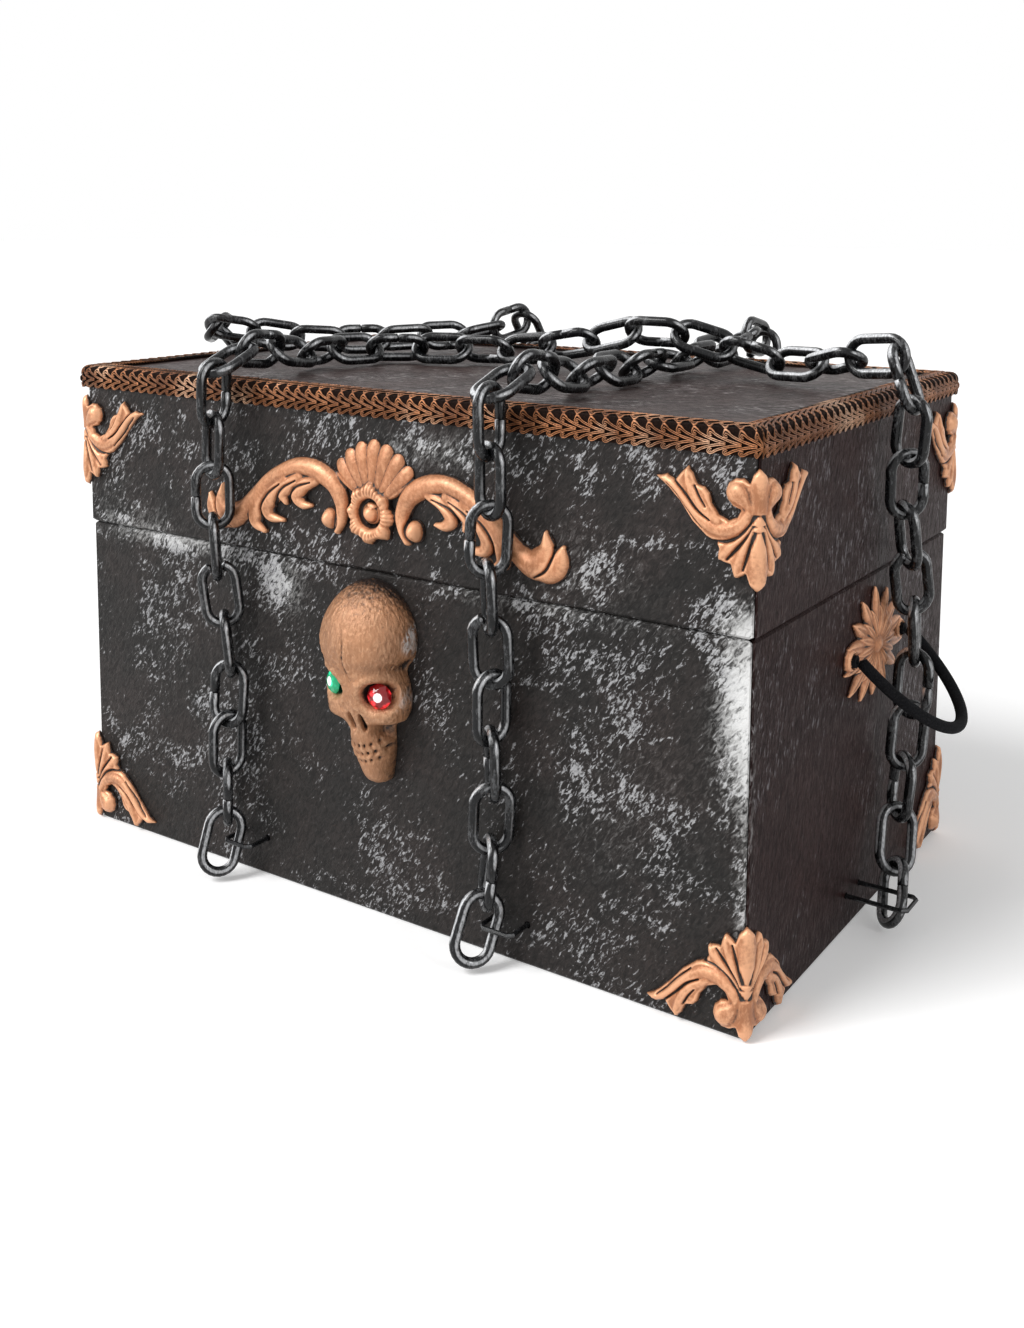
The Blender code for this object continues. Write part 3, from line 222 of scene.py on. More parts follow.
def calc(tree, operation, first, second=0.0, clamp=False):
    """The result of a sum on two values or outputs."""
    return put(tree, "ShaderNodeMath", {0: first, 1: second}, operation=operation, use_clamp=clamp).outputs[0]


def ramp(tree, value, low, high, start=0.0, end=1.0):
    """A smooth step of a value from low to high."""
    return put(
        tree, "ShaderNodeMapRange",
        {"Value": value, "From Min": low, "From Max": high, "To Min": start, "To Max": end},
        interpolation_type="SMOOTHSTEP",
    ).outputs[0]


def blend_colour(tree, share, first, second):
    """Two colours mixed by a share."""
    inputs = {0: share}
    for key, colour in ((MIX_FIRST, first), (MIX_SECOND, second)):
        inputs[key] = colour if isinstance(colour, bpy.types.NodeSocket) else (*colour, 1.0)
    return put(tree, "ShaderNodeMix", inputs, data_type="RGBA").outputs[MIX_RESULT]


def noise(tree, vector, scale, detail=4.0, roughness=0.55, distortion=0.0):
    """Plain noise."""
    return put(tree, "ShaderNodeTexNoise", {
        "Vector": vector, "Scale": scale, "Detail": detail, "Roughness": roughness, "Distortion": distortion,
    }).outputs["Fac"]


def stored(tree, name):
    """A number that the mesh stores on its points."""
    return put(tree, "ShaderNodeAttribute", attribute_name=name).outputs["Fac"]


def object_place(tree, stretch=(1, 1, 1), turn=(0, 0, 0)):
    """Object coordinates, turned and then squeezed: a share below 1 draws the grain out along that axis."""
    place = put(tree, "ShaderNodeTexCoord").outputs["Object"]
    inputs = {"Vector": place, "Rotation": turn, "Scale": [1 / share for share in stretch]}
    return put(tree, "ShaderNodeMapping", inputs, vector_type="TEXTURE").outputs[0]


def new_group(name, inputs, outputs):
    """An empty node group with named sockets; returns it with its input and output nodes."""
    tree = bpy.data.node_groups.new(name, "ShaderNodeTree")
    for socket_name, kind, value in inputs:
        socket = tree.interface.new_socket(socket_name, in_out="INPUT", socket_type=kind)
        socket.default_value = value
    for socket_name, kind in outputs:
        tree.interface.new_socket(socket_name, in_out="OUTPUT", socket_type=kind)
    return tree, tree.nodes.new("NodeGroupInput").outputs, tree.nodes.new("NodeGroupOutput").inputs


def use_group(tree, group, inputs):
    """A group placed in a material with its own values."""
    return put(tree, "ShaderNodeGroup", inputs, node_tree=group).outputs


def new_material(name):
    """A material, its node tree and its Principled shader."""
    material = bpy.data.materials.new(name)
    material.use_nodes = True
    return material, material.node_tree, material.node_tree.nodes["Principled BSDF"]


def bump(tree, height, strength, distance):
    """A normal raised by a height."""
    inputs = {"Height": height, "Strength": strength, "Distance": distance}
    return put(tree, "ShaderNodeBump", inputs).outputs[0]


# Shared effects

FLOAT = "NodeSocketFloat"
VECTOR = "NodeSocketVector"


def mixed_noise(tree, first, second, share):
    """Two noises mixed, the first by its share."""
    return calc(tree, "ADD", calc(tree, "MULTIPLY", first, share), calc(tree, "MULTIPLY", second, 1 - share))


def above_edge(tree, field, highest, cover, lowering):
    """How far a noise stands above an edge that comes down from its highest as the cover grows."""
    edge = calc(tree, "SUBTRACT", highest, calc(tree, "MULTIPLY", cover, lowering))
    return calc(tree, "SUBTRACT", field, edge)


def brushed_flecks_group():
    """Flecks of dry-brushed silver on a coarse ground, gathered in patches."""
    tree, given, result = new_group(
        "Brushed flecks",
        (("Vector", VECTOR, (0, 0, 0)), ("Plain", VECTOR, (0, 0, 0)), ("Grain scale", FLOAT, 520.0),
         ("Patch scale", FLOAT, 26.0), ("Cover", FLOAT, 0.3)),
        (("Flecks", FLOAT), ("Ground", FLOAT)),
    )
    fine_scale = calc(tree, "MULTIPLY", given["Grain scale"], 2.4)
    grain = noise(tree, given["Vector"], given["Grain scale"], roughness=0.60, distortion=0.9)
    fine = noise(tree, given["Vector"], fine_scale, detail=3.0, roughness=0.6)
    patches = noise(tree, given["Plain"], given["Patch scale"], detail=6.0, roughness=0.62, distortion=0.5)
    ground = mixed_noise(tree, grain, fine, 0.75)
    wanted = calc(tree, "MULTIPLY", ramp(tree, patches, 0.36, 0.66), given["Cover"])
    above = above_edge(tree, ground, 0.66, wanted, 0.20)
    strength = ramp(tree, fine, 0.30, 0.62, 0.35, 1.0)
    tree.links.new(calc(tree, "MULTIPLY", ramp(tree, above, -0.02, 0.07), strength), result["Flecks"])
    tree.links.new(ground, result["Ground"])
    return tree


def cavity_group():
    """Dark wash and painted shade in a relief's hollows, bright rubs and painted highlights on its crests,
    from the mesh's own cavity value.
    """
    tree, given, result = new_group(
        "Cavity wash and shade",
        (("Wash", FLOAT, 0.5), ("Rub", FLOAT, 0.5)),
        (("Hollows", FLOAT), ("Crests", FLOAT)),
    )
    brushing = calc(tree, "SUBTRACT", noise(tree, object_place(tree), 600.0), 0.5)
    uneven = calc(tree, "ADD", stored(tree, "cavity"), calc(tree, "MULTIPLY", brushing, 0.45))
    # The wash sets the dark wash and painted shade, the rub the bright rubs and painted highlights
    hollows = calc(tree, "MULTIPLY", ramp(tree, uneven, 0.46, 0.10), given["Wash"], clamp=True)
    crests = calc(tree, "MULTIPLY", ramp(tree, uneven, 0.55, 0.90), given["Rub"], clamp=True)
    tree.links.new(hollows, result["Hollows"])
    tree.links.new(crests, result["Crests"])
    return tree


def rub_group():
    """Streaks where paint is rubbed off along a piece, from uneven noise."""
    tree, given, result = new_group(
        "Rubbed streaks",
        (("Vector", VECTOR, (0, 0, 0)), ("Scale", FLOAT, 120.0), ("Cover", FLOAT, 0.4)),
        (("Streaks", FLOAT), ("Speckle", FLOAT)),
    )
    fine_scale = calc(tree, "MULTIPLY", given["Scale"], 6.0)
    broad = noise(tree, given["Vector"], given["Scale"], detail=5.0, roughness=0.7, distortion=0.3)
    fine = noise(tree, given["Vector"], fine_scale, roughness=0.7)
    above = above_edge(tree, mixed_noise(tree, broad, fine, 0.6), 0.66, given["Cover"], 0.25)
    tree.links.new(ramp(tree, above, 0.0, 0.08), result["Streaks"])
    tree.links.new(fine, result["Speckle"])
    return tree


brushed_flecks = brushed_flecks_group()
cavity_wash_and_shade = cavity_group()
rubbed_streaks = rub_group()


# Materials, with colours as red, green and blue

X_AXIS, Y_AXIS, Z_AXIS = 0, 1, 2
RUBBED_PAINT = (0.74, 0.74, 0.73)
RUBBED_CAST = (0.78, 0.76, 0.75)
DEEPER_COPPER = 0.74
WIRE_BLACK = (0.004, 0.0042, 0.0046)
WIRE_GREY = (0.012, 0.0125, 0.014)
WIRE_SILVER_AND_HIGHLIGHT = (0.80, 0.81, 0.83)
CORD_SHADE = (0.006, 0.0028, 0.0016)
CORD_RUST = (0.22, 0.074, 0.023)
CORD_COPPER = (0.60, 0.245, 0.10)
CORD_PALE = (0.92, 0.62, 0.42)
STEEL_DARK = (0.16, 0.15, 0.14)
STEEL_WORN = (0.42, 0.40, 0.37)
GEM_GLINT_COLOUR = (1.0, 0.93, 0.93)

# Painted highlights on wire ridges facing the light: the way they face, where they start and are full, their
# strength
WIRE_PAINTED_HIGHLIGHTS = (((-0.50, -0.58, 0.64), 0.82, 0.95, 1.0), ((0.80, -0.52, 0.30), 0.90, 0.99, 0.5))


def level_band(tree, value, centre, reach):
    """1 at the centre of a band of heights or widths, falling to 0 at its reach."""
    away = calc(tree, "ABSOLUTE", calc(tree, "SUBTRACT", value, centre))
    return ramp(tree, away, reach, 0.0)


def pale_rubs(tree, place, rubs):
    """The pale rubs of a wall, added up.

    Each rub is an axis with the place and reach of its line, a second axis with a place and reach, and a
    strength.
    """
    axes = put(tree, "ShaderNodeSeparateXYZ", {0: place}).outputs
    pale = 0.0
    for axis, line, reach, cross, middle, span, strength in rubs:
        beside_line = level_band(tree, axes[axis], line, reach)
        band = calc(tree, "MULTIPLY", beside_line, level_band(tree, axes[cross], middle, span))
        pale = calc(tree, "ADD", calc(tree, "MULTIPLY", band, strength), pale)
    return pale


def paint_material(name, ground_colour, warm_colour, fleck_colour, cover, stretch, turn, rubs=(), gloss=0.22):
    """Old paint on a rough ground: two dark tones, silver flecks and soft pale rubs in given places."""
    material, tree, shader = new_material(name)
    place = object_place(tree, stretch, turn)
    straight = object_place(tree)
    pale = pale_rubs(tree, straight, rubs)
    covered = calc(tree, "ADD", calc(tree, "MULTIPLY", pale, 1.6), cover)
    flecks = use_group(tree, brushed_flecks, {"Vector": place, "Plain": straight, "Cover": covered})
    ground = flecks["Ground"]
    tone = ramp(tree, noise(tree, straight, 22.0, detail=5.0, roughness=0.6), 0.35, 0.7)
    colour = blend_colour(tree, tone, ground_colour, warm_colour)
    shaded = put(tree, "ShaderNodeVectorMath", {
        0: colour, "Scale": ramp(tree, ground, 0.34, 0.64, 0.45, 1.45),
    }, operation="SCALE").outputs[0]
    painted = blend_colour(tree, flecks["Flecks"], shaded, fleck_colour)
    broken = ramp(tree, calc(tree, "ADD", ground, calc(tree, "MULTIPLY", pale, 0.30)), 0.50, 0.78)
    rubbed = blend_colour(tree, calc(tree, "MULTIPLY", broken, pale, clamp=True), painted, RUBBED_PAINT)
    feed(tree, shader, {
        "Base Color": rubbed, "Roughness": ramp(tree, ground, 0.35, 0.65, 0.58, 0.36),
        "Normal": bump(tree, ground, 0.8, 0.0012),
        "Metallic": calc(tree, "MULTIPLY", flecks["Flecks"], 0.3), "Specular IOR Level": gloss,
    })
    return material


def copper_material(name, paint, bright, dark, brush_scale=420.0, grain=0.0006):
    """Copper paint over a cast relief: brush marks, dark wash with painted shade in the hollows, bright rubs
    with painted highlights on the crests.
    """
    material, tree, shader = new_material(name)
    cavity = use_group(tree, cavity_wash_and_shade, {"Wash": 1.0, "Rub": 0.8})
    brush = object_place(tree, (1, 1, 0.45))
    marks = noise(tree, brush, brush_scale, detail=5.0, roughness=0.62, distortion=0.8)
    clouds = noise(tree, object_place(tree), 60.0)
    base = blend_colour(tree, ramp(tree, clouds, 0.35, 0.68), paint, [tone * DEEPER_COPPER for tone in paint])
    streaked = blend_colour(tree, ramp(tree, marks, 0.45, 0.75, 0.0, 0.45), base, bright)
    # Bright rubs and painted highlights on the crests, then dark wash and painted shade in the hollows
    rubbed = blend_colour(tree, cavity["Crests"], streaked, bright)
    washed_and_shaded = blend_colour(tree, cavity["Hollows"], rubbed, dark)
    broken = calc(tree, "MULTIPLY", stored(tree, "silver"), ramp(tree, marks, 0.40, 0.58), clamp=True)
    feed(tree, shader, {
        "Base Color": blend_colour(tree, broken, washed_and_shaded, RUBBED_CAST), "Metallic": 0.32,
        "Roughness": ramp(tree, marks, 0.35, 0.65, 0.34, 0.50), "Normal": bump(tree, marks, 0.40, grain),
    })
    return material


def chain_material(name, shine):
    """Near-black wire, glossy, speckled, with painted silver highlights on the ridges facing the light and a
    few rubbed streaks, by a share.
    """
    material, tree, shader = new_material(name)
    along = object_place(tree, (1, 1, 0.4))
    rubs = use_group(tree, rubbed_streaks, {"Vector": along, "Scale": 150.0, "Cover": 0.62})
    speckle = rubs["Speckle"]
    way = put(tree, "ShaderNodeNewGeometry").outputs["Normal"]
    ridges = []
    # Painted highlights: the ridges that face the light turn silver
    for facing, start, full, strength in WIRE_PAINTED_HIGHLIGHTS:
        lean = put(tree, "ShaderNodeVectorMath", {0: way, 1: facing}, operation="DOT_PRODUCT")
        ridges.append(ramp(tree, lean.outputs["Value"], start, full, 0.0, strength))
    broken = ramp(tree, speckle, 0.36, 0.52, 0.40, 1.0)
    crests = calc(tree, "MULTIPLY", calc(tree, "MAXIMUM", *ridges), broken)
    # A little rubbing from the streaks, plus the painted highlights
    rubbed = calc(tree, "ADD", calc(tree, "MULTIPLY", rubs["Streaks"], 0.07), crests, clamp=True)
    wear_and_painted_highlight = calc(tree, "MULTIPLY", rubbed, shine)
    tone = blend_colour(tree, ramp(tree, speckle, 0.4, 0.7), WIRE_BLACK, WIRE_GREY)
    feed(tree, shader, {
        "Base Color": blend_colour(tree, wear_and_painted_highlight, tone, WIRE_SILVER_AND_HIGHLIGHT),
        "Metallic": calc(tree, "MULTIPLY", wear_and_painted_highlight, 0.6), "Specular IOR Level": 0.26,
        "Roughness": ramp(tree, speckle, 0.3, 0.7, 0.18, 0.30), "Normal": bump(tree, speckle, 0.04, 0.0004),
    })
    return material


def braid_material():
    """Cords copper on top with painted shade on their undersides, near black between them, and pale patches
    of painted highlight.
    """
    material, tree, shader = new_material("braid_cords")
    place = object_place(tree)
    threads = noise(tree, place, 900.0, detail=3.0, roughness=0.6)
    clouds = noise(tree, place, 45.0)
    pale = noise(tree, place, 22.0, detail=3.0)
    base = blend_colour(tree, ramp(tree, clouds, 0.35, 0.7), CORD_RUST, CORD_COPPER)
    # Painted highlight: pale patches from a broad noise
    with_highlight_patches = blend_colour(tree, ramp(tree, pale, 0.52, 0.68, 0.0, 0.60), base, CORD_PALE)
    missed = calc(tree, "MULTIPLY", calc(tree, "SUBTRACT", threads, 0.5), 0.9)
    # Painted shade: the cords turn near black where they face down, broken by the threads
    uneven = calc(tree, "ADD", stored(tree, "cord_top"), missed)
    feed(tree, shader, {
        "Base Color": blend_colour(tree, ramp(tree, uneven, 0.36, 0.98), CORD_SHADE, with_highlight_patches),
        "Metallic": 0.3, "Roughness": ramp(tree, threads, 0.4, 0.6, 0.5, 0.34),
        "Normal": bump(tree, threads, 0.3, 0.0004), "Specular IOR Level": 0.35,
    })
    return material


def cloth_material(name, colour, fuzz, scale):
    """Dull cloth with a fine fuzz."""
    material, tree, shader = new_material(name)
    hairs = noise(tree, object_place(tree), scale, detail=5.0, roughness=0.7)
    feed(tree, shader, {
        "Base Color": blend_colour(tree, ramp(tree, hairs, 0.4, 0.7), colour, fuzz),
        "Roughness": ramp(tree, hairs, 0.3, 0.7, 0.95, 0.8),
        "Normal": bump(tree, hairs, 0.5, 0.0005), "Specular IOR Level": 0.10,
    })
    return material


def steel_material():
    """Aged hinge steel."""
    material, tree, shader = new_material("hinge_metal")
    across = object_place(tree, (0.3, 1, 1))
    rubs = use_group(tree, rubbed_streaks, {"Vector": across, "Scale": 160.0, "Cover": 0.5})
    feed(tree, shader, {
        "Base Color": blend_colour(tree, rubs["Streaks"], STEEL_DARK, STEEL_WORN),
        "Metallic": 0.9, "Roughness": ramp(tree, rubs["Speckle"], 0.3, 0.7, 0.3, 0.5),
        "Normal": bump(tree, rubs["Speckle"], 0.15, 0.0004),
    })
    return material


def gem_material(name, deep, lit):
    """Cut glass over foil: deep colour, painted lighter where the facets would scatter light, a painted glint
    in the middle and a painted glow from emission.
    """
    material, tree, shader = new_material(name)
    facets = put(tree, "ShaderNodeTexVoronoi", {"Vector": object_place(tree), "Scale": 260.0})
    # Painted light on the facets: lighter in the middle of each cell, deep colour towards its edges
    tone = blend_colour(tree, ramp(tree, facets.outputs["Distance"], 0.15, 0.55), lit, deep)
    glint_and_glow = blend_colour(tree, ramp(tree, stored(tree, "painted_glint"), 0.35, 0.75), tone, GEM_GLINT_COLOUR)
    feed(tree, shader, {
        "Base Color": glint_and_glow, "Roughness": 0.10, "Coat Weight": 0.25, "Specular IOR Level": 0.4,
        # Painted glow: the stone's colour, glint included, given off as emission
        "Emission Color": glint_and_glow, "Emission Strength": 0.45,
    })
    return material


EDGE_X = CHEST_WIDTH / 2
SEAM_LIP = SEAM_HEIGHT - 0.002
FRONT_RUBS = (
    (X_AXIS, EDGE_X, 0.030, Z_AXIS, 0.150, 0.075, 1.0),
    (Z_AXIS, SEAM_LIP, 0.012, X_AXIS, -0.140, 0.090, 0.62),
    (Z_AXIS, SEAM_LIP, 0.010, X_AXIS, 0.100, 0.110, 0.36),
    (X_AXIS, EDGE_X, 0.012, Z_AXIS, 0.050, 0.100, 0.55),
    (X_AXIS, 0.150, 0.060, Z_AXIS, 0.090, 0.060, 0.16),
    (X_AXIS, -0.060, 0.030, Z_AXIS, 0.165, 0.030, 0.45),
    (X_AXIS, 0.0, 0.055, Z_AXIS, 0.125, 0.070, -0.30),
)
LID_FRONT_RUBS = (
    (X_AXIS, EDGE_X, 0.030, Z_AXIS, SEAM_HEIGHT, 0.026, 0.95),
    (Z_AXIS, SEAM_HEIGHT, 0.022, X_AXIS, -0.175, 0.060, 0.40),
    (Z_AXIS, 0.246, 0.016, X_AXIS, 0.040, 0.060, 0.40),
    (X_AXIS, -EDGE_X, 0.050, Z_AXIS, 0.225, 0.040, 0.30),
    (X_AXIS, 0.120, 0.060, Z_AXIS, 0.200, 0.030, 0.22),
    (X_AXIS, -0.020, 0.100, Z_AXIS, 0.215, 0.030, -0.32),
)
SIDE_RUBS = ((Y_AXIS, -CHEST_DEPTH / 2, 0.012, Z_AXIS, 0.120, 0.110, 0.30),)
FRONT_GROUND = (0.0120, 0.0106, 0.0098)
FRONT_BRUSHING = {"stretch": (1, 1, 0.40), "turn": (0, math.radians(36), 0)}

front_paint = paint_material(
    "front_paint", FRONT_GROUND, (0.021, 0.0160, 0.0146), (0.36, 0.36, 0.37), 0.72, rubs=FRONT_RUBS,
    **FRONT_BRUSHING,
)
lid_front_paint = paint_material(
    "lid_front_paint", FRONT_GROUND, (0.023, 0.0172, 0.0158), (0.38, 0.38, 0.39), 0.80, rubs=LID_FRONT_RUBS,
    **FRONT_BRUSHING,
)
side_paint = paint_material(
    "side_paint", (0.0145, 0.0048, 0.0044), (0.0215, 0.0085, 0.0077), (0.15, 0.14, 0.15), 0.56,
    stretch=(1, 1, 0.30), turn=(math.radians(-14), 0, 0), rubs=SIDE_RUBS, gloss=0.08,
)
top_paint = paint_material(
    "top_paint", (0.022, 0.0120, 0.0105), (0.044, 0.026, 0.023), (0.34, 0.31, 0.31), 0.66,
    stretch=(0.32, 1, 1), turn=(0, 0, math.radians(12)),
)
copper = copper_material("copper_relief", (0.47, 0.190, 0.085), (0.86, 0.45, 0.25), (0.022, 0.016, 0.014))
bone_copper = copper_material(
    "skull_copper", (0.42, 0.20, 0.098), (0.80, 0.47, 0.28), (0.020, 0.013, 0.011), brush_scale=520.0,
    grain=0.0016,
)
# The share sets the strength of the painted highlights and the rubbed streaks
chain_finish = chain_material("chain_links", 1.0)
staple_finish = chain_material("staple_wire", 0.25)
braid_finish = braid_material()
braid_ground = cloth_material("braid_ground", (0.006, 0.003, 0.002), (0.020, 0.008, 0.005), 1200.0)
rope_finish = cloth_material("black_rope", (0.006, 0.006, 0.007), (0.018, 0.018, 0.020), 1500.0)
hinge_finish = steel_material()
green_glass = gem_material("green_glass", (0.0, 0.26, 0.11), (0.01, 0.85, 0.42))
red_glass = gem_material("red_glass", (0.16, 0.002, 0.004), (0.95, 0.03, 0.04))


# Rope handles

HANDLE_AXIS_X = 0.21645
HANDLE_AXIS_Y = 0.016
HANDLE_AXIS_Z = 0.143
HANDLE_SPREAD = 0.070
ROPE_DIAMETER = 0.006
ROPE_SIDES = 16
ROPE_DROP = 0.051
ROPE_TILT = math.radians(48)
ROPE_STEPS = 48


def rope_line(side):
    """The middle of a rope loop, from the front hole to the back one."""
    line = []
    for step in range(ROPE_STEPS + 1):
        angle = math.pi * step / ROPE_STEPS
        drop = ROPE_DROP * math.sin(angle)
        line.append(Vector((
            side * (HANDLE_AXIS_X + drop * math.sin(ROPE_TILT)),
            HANDLE_AXIS_Y - HANDLE_SPREAD / 2 * math.cos(angle),
            HANDLE_AXIS_Z - drop * math.cos(ROPE_TILT),
        )))
    return line


def add_rope(side, label):
    """A black rope loop: a free cord held by its two knotted ends."""
    name = "rope_loop_" + label
    line = rope_line(side)
    points, faces = tube(line, ROPE_DIAMETER / 2, ROPE_SIDES)
    rope = add_piece(name, mesh_of(name, points, faces), "handle_" + label, rope_finish)
    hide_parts("rope_handle_" + label)


add_rope(1, "right")
add_rope(-1, "left")


# Chain links

LINK_LENGTH = 0.038
LINK_WIDTH = 0.023
LINK_WIRE = 0.0054
LINK_BITE = 0.0004
LINK_LEAN = math.radians(45)
CROSSED_LEAN = math.radians(18)
LINK_TURN = math.radians(90)
LINK_TWIST_TURN = math.radians(60)
LINK_EASE_TURN = math.radians(67.5)
LINK_REACH = LINK_LENGTH - LINK_WIRE
LINK_SKIN = LINK_WIRE / 2 / math.cos(math.pi / 6)
LINK_BEND_RADIUS = (LINK_WIDTH - LINK_WIRE) / 2
LINK_SEAT = LINK_WIRE - LINK_BITE
LINK_PITCH = LINK_REACH - LINK_SEAT
LOOSE_SEAT = LINK_WIRE + 3 * GAP
CHAIN_PLAY = 0.0007
CHAIN_STANDOFF = LINK_BEND_RADIUS * math.sin(LINK_LEAN) + LINK_SKIN + CHAIN_PLAY
SCROLL_THICKNESS = 0.0045
PALMETTE_THICKNESS = 0.004
BRAID_THICKNESS = 0.0026
BOARD_THICKNESS = 0.009
FRONT_TRIM = LID_OVERHANG + GAP + SCROLL_THICKNESS
SIDE_TRIM = GAP + PALMETTE_THICKNESS
BACK_TRIM = LID_OVERHANG + GAP + BRAID_THICKNESS
WANDER_STEP = 0.05
HALVINGS = 24
WIRE_SIDES = 14
BEND_STEPS = 12
SLIT_HALF_WIDTH = 0.0005
SEAM_SLIT_HALF_WIDTH = LINK_SKIN + SLIT_HALF_WIDTH

# Rows of the routes: place along a face, height or depth, and how far each stands off, all as shares
FRONT_LEFT_SHARES = (
    (-0.436, 0.0210, 0.55, 0), (-0.440, 0.110, 0.05, 0), (-0.432, 0.200, 0.11, 0), (-0.428, 0.330, 0.11, 0),
    (-0.427, 0.460, 0, 0), (-0.444, 0.580, 0, 0.5), (-0.450, 0.700, 0, 1), (-0.450, 0.860, 0, 1),
    (-0.436, 0.965, 0.05, 1), (-0.428, 1.025, 0.12, 1),
)
FRONT_RIGHT_SHARES = (
    (0.363, 0.0210, 0.55, 0), (0.372, 0.110, 0.02, 0), (0.392, 0.300, 0.02, 0), (0.394, 0.400, 0.11, 0),
    (0.394, 0.520, 0.11, 0), (0.394, 0.600, 0, 0.5), (0.391, 0.700, 0, 1), (0.400, 0.860, 0, 1),
    (0.400, 0.965, 0.05, 1), (0.400, 1.025, 0.12, 1),
)
SIDE_SHARES = (
    (0.085, 1.040, 0.42, 1), (0.080, 0.960, 0.16, 1), (0.125, 0.840, 0, 1), (0.155, 0.735, 0, 1),
    (0.230, 0.625, 0.05, 1), (0.262, 0.510, 0.09, 1), (0.245, 0.400, 0.06, 1), (0.228, 0.300, 0.11, 0.5),
    (0.220, 0.210, 0.11, 0), (0.195, 0.127, 0.11, 0), (-0.030, 0.0270, 0.50, 0),
)
BACK_LEFT_SHARES = (
    (-0.385, 1.035, 0.34, 1), (-0.390, 0.965, 0.12, 1), (-0.390, 0.900, 0.03, 1), (-0.400, 0.735, 0, 1),
)
BACK_RIGHT_SHARES = (
    (0.415, 1.035, 0.34, 1), (0.415, 0.965, 0.12, 1), (0.420, 0.900, 0.03, 1), (0.425, 0.728, 0, 1),
)
TOP_FRONT_TO_RIGHT = (
    (-0.428, -1.09, 0.38), (-0.430, -0.93, 0.36), (-0.435, -0.60, 0.05), (-0.430, -0.33, 0.02),
    (-0.340, -0.15, 0), (-0.190, -0.04, 0), (0.000, 0.01, 0.05), (0.180, 0.06, 0.30), (0.330, 0.09, 0.68),
    (0.440, 0.11, 0.72), (0.560, 0.18, 0.38), (0.680, 0.23, 0.05), (0.820, 0.20, 0.06), (0.930, 0.12, 0.40),
    (1.050, 0.09, 0.52),
)
TOP_LEFT_TO_BACK = (
    (-1.030, -0.23, 0.36), (-0.930, -0.15, 0.28), (-0.810, -0.03, 0.06), (-0.690, 0.10, 0), (-0.600, 0.25, 0),
    (-0.530, 0.38, 0.05), (-0.470, 0.55, 0.05), (-0.425, 0.75, 0.10), (-0.395, 0.92, 0.36),
    (-0.385, 1.06, 0.42),
)
TOP_FRONT_TO_BACK = (
    (0.400, -1.09, 0.38), (0.400, -0.93, 0.36), (0.402, -0.65, 0.05), (0.396, -0.40, 0.0), (0.394, -0.12, 0),
    (0.400, 0.20, -0.04), (0.404, 0.42, 0.01), (0.410, 0.58, 0.02), (0.414, 0.76, 0.12), (0.416, 0.92, 0.36),
    (0.415, 1.06, 0.42),
)


def on_wall(out, rows, trim):
    """Points beside a wall: shares of its half length, of the chest's height and of the link width."""
    sideways = Vector((abs(out.y), abs(out.x), 0))
    half_length = (CHEST_WIDTH if abs(out.y) > abs(out.x) else CHEST_DEPTH) / 2
    half_base = (BASE_WIDTH if abs(out.x) > abs(out.y) else BASE_DEPTH) / 2
    points = []
    for place_share, height_share, lift_share, over_trim in rows:
        stand = half_base + CHAIN_STANDOFF + lift_share * LINK_WIDTH + over_trim * trim
        height = Vector((0, 0, height_share * CHEST_HEIGHT))
        points.append(sideways * place_share * half_length + out * stand + height)
    return points


def on_lid(rows, wander):
    """Points above the lid; each middle point stays or is drawn sideways by the wander."""
    level = CHEST_HEIGHT + CHAIN_STANDOFF
    ends = [Vector((row[0] * CHEST_WIDTH / 2, row[1] * CHEST_DEPTH / 2, 0)) for row in (rows[0], rows[-1])]
    run = ends[1] - ends[0]
    points = []
    for x_share, y_share, lift_share in rows:
        place = Vector((x_share * CHEST_WIDTH / 2, y_share * CHEST_DEPTH / 2, 0))
        foot = ends[0] + run * (place - ends[0]).dot(run) / run.length_squared
        moved = foot + (place - foot) * wander
        points.append(Vector((moved.x, moved.y, level + lift_share * LINK_WIDTH)))
    return points


TO_FRONT = Vector((0, -1, 0))
TO_BACK = Vector((0, 1, 0))
TO_RIGHT = Vector((1, 0, 0))
TO_LEFT = Vector((-1, 0, 0))
CROSSING_SHARES = TOP_FRONT_TO_BACK[5]
CHAIN_CROSSING = Vector((
    CROSSING_SHARES[0] * CHEST_WIDTH / 2, CROSSING_SHARES[1] * CHEST_DEPTH / 2, CHEST_HEIGHT,
))


def front_to_right_route(wander):
    """Front left, over the lid above the other chain, then down the right side."""
    return smooth_route(
        on_wall(TO_FRONT, FRONT_LEFT_SHARES, FRONT_TRIM) + on_lid(TOP_FRONT_TO_RIGHT, wander)
        + on_wall(TO_RIGHT, SIDE_SHARES, SIDE_TRIM)
    )


def left_to_back_route(wander):
    """Up the left side, over the lid and down the back."""
    return smooth_route(
        on_wall(TO_LEFT, SIDE_SHARES[::-1], SIDE_TRIM) + on_lid(TOP_LEFT_TO_BACK, wander)
        + on_wall(TO_BACK, BACK_LEFT_SHARES, BACK_TRIM)
    )


def front_to_back_route(wander):
    """Up the front, right of the skull, under the first chain and down the back."""
    return smooth_route(
        on_wall(TO_FRONT, FRONT_RIGHT_SHARES, FRONT_TRIM) + on_lid(TOP_FRONT_TO_BACK, wander)
        + on_wall(TO_BACK, BACK_RIGHT_SHARES, BACK_TRIM)
    )


def outward(point):
    """The way out from the chest at a point beside or above it."""
    half_width = CHEST_WIDTH / 2 - BOARD_THICKNESS
    half_depth = CHEST_DEPTH / 2 - BOARD_THICKNESS
    nearest = Vector((
        max(-half_width, min(half_width, point.x)), max(-half_depth, min(half_depth, point.y)),
        min(CHEST_HEIGHT - BOARD_THICKNESS, point.z),
    ))
    return (point - nearest).normalized()


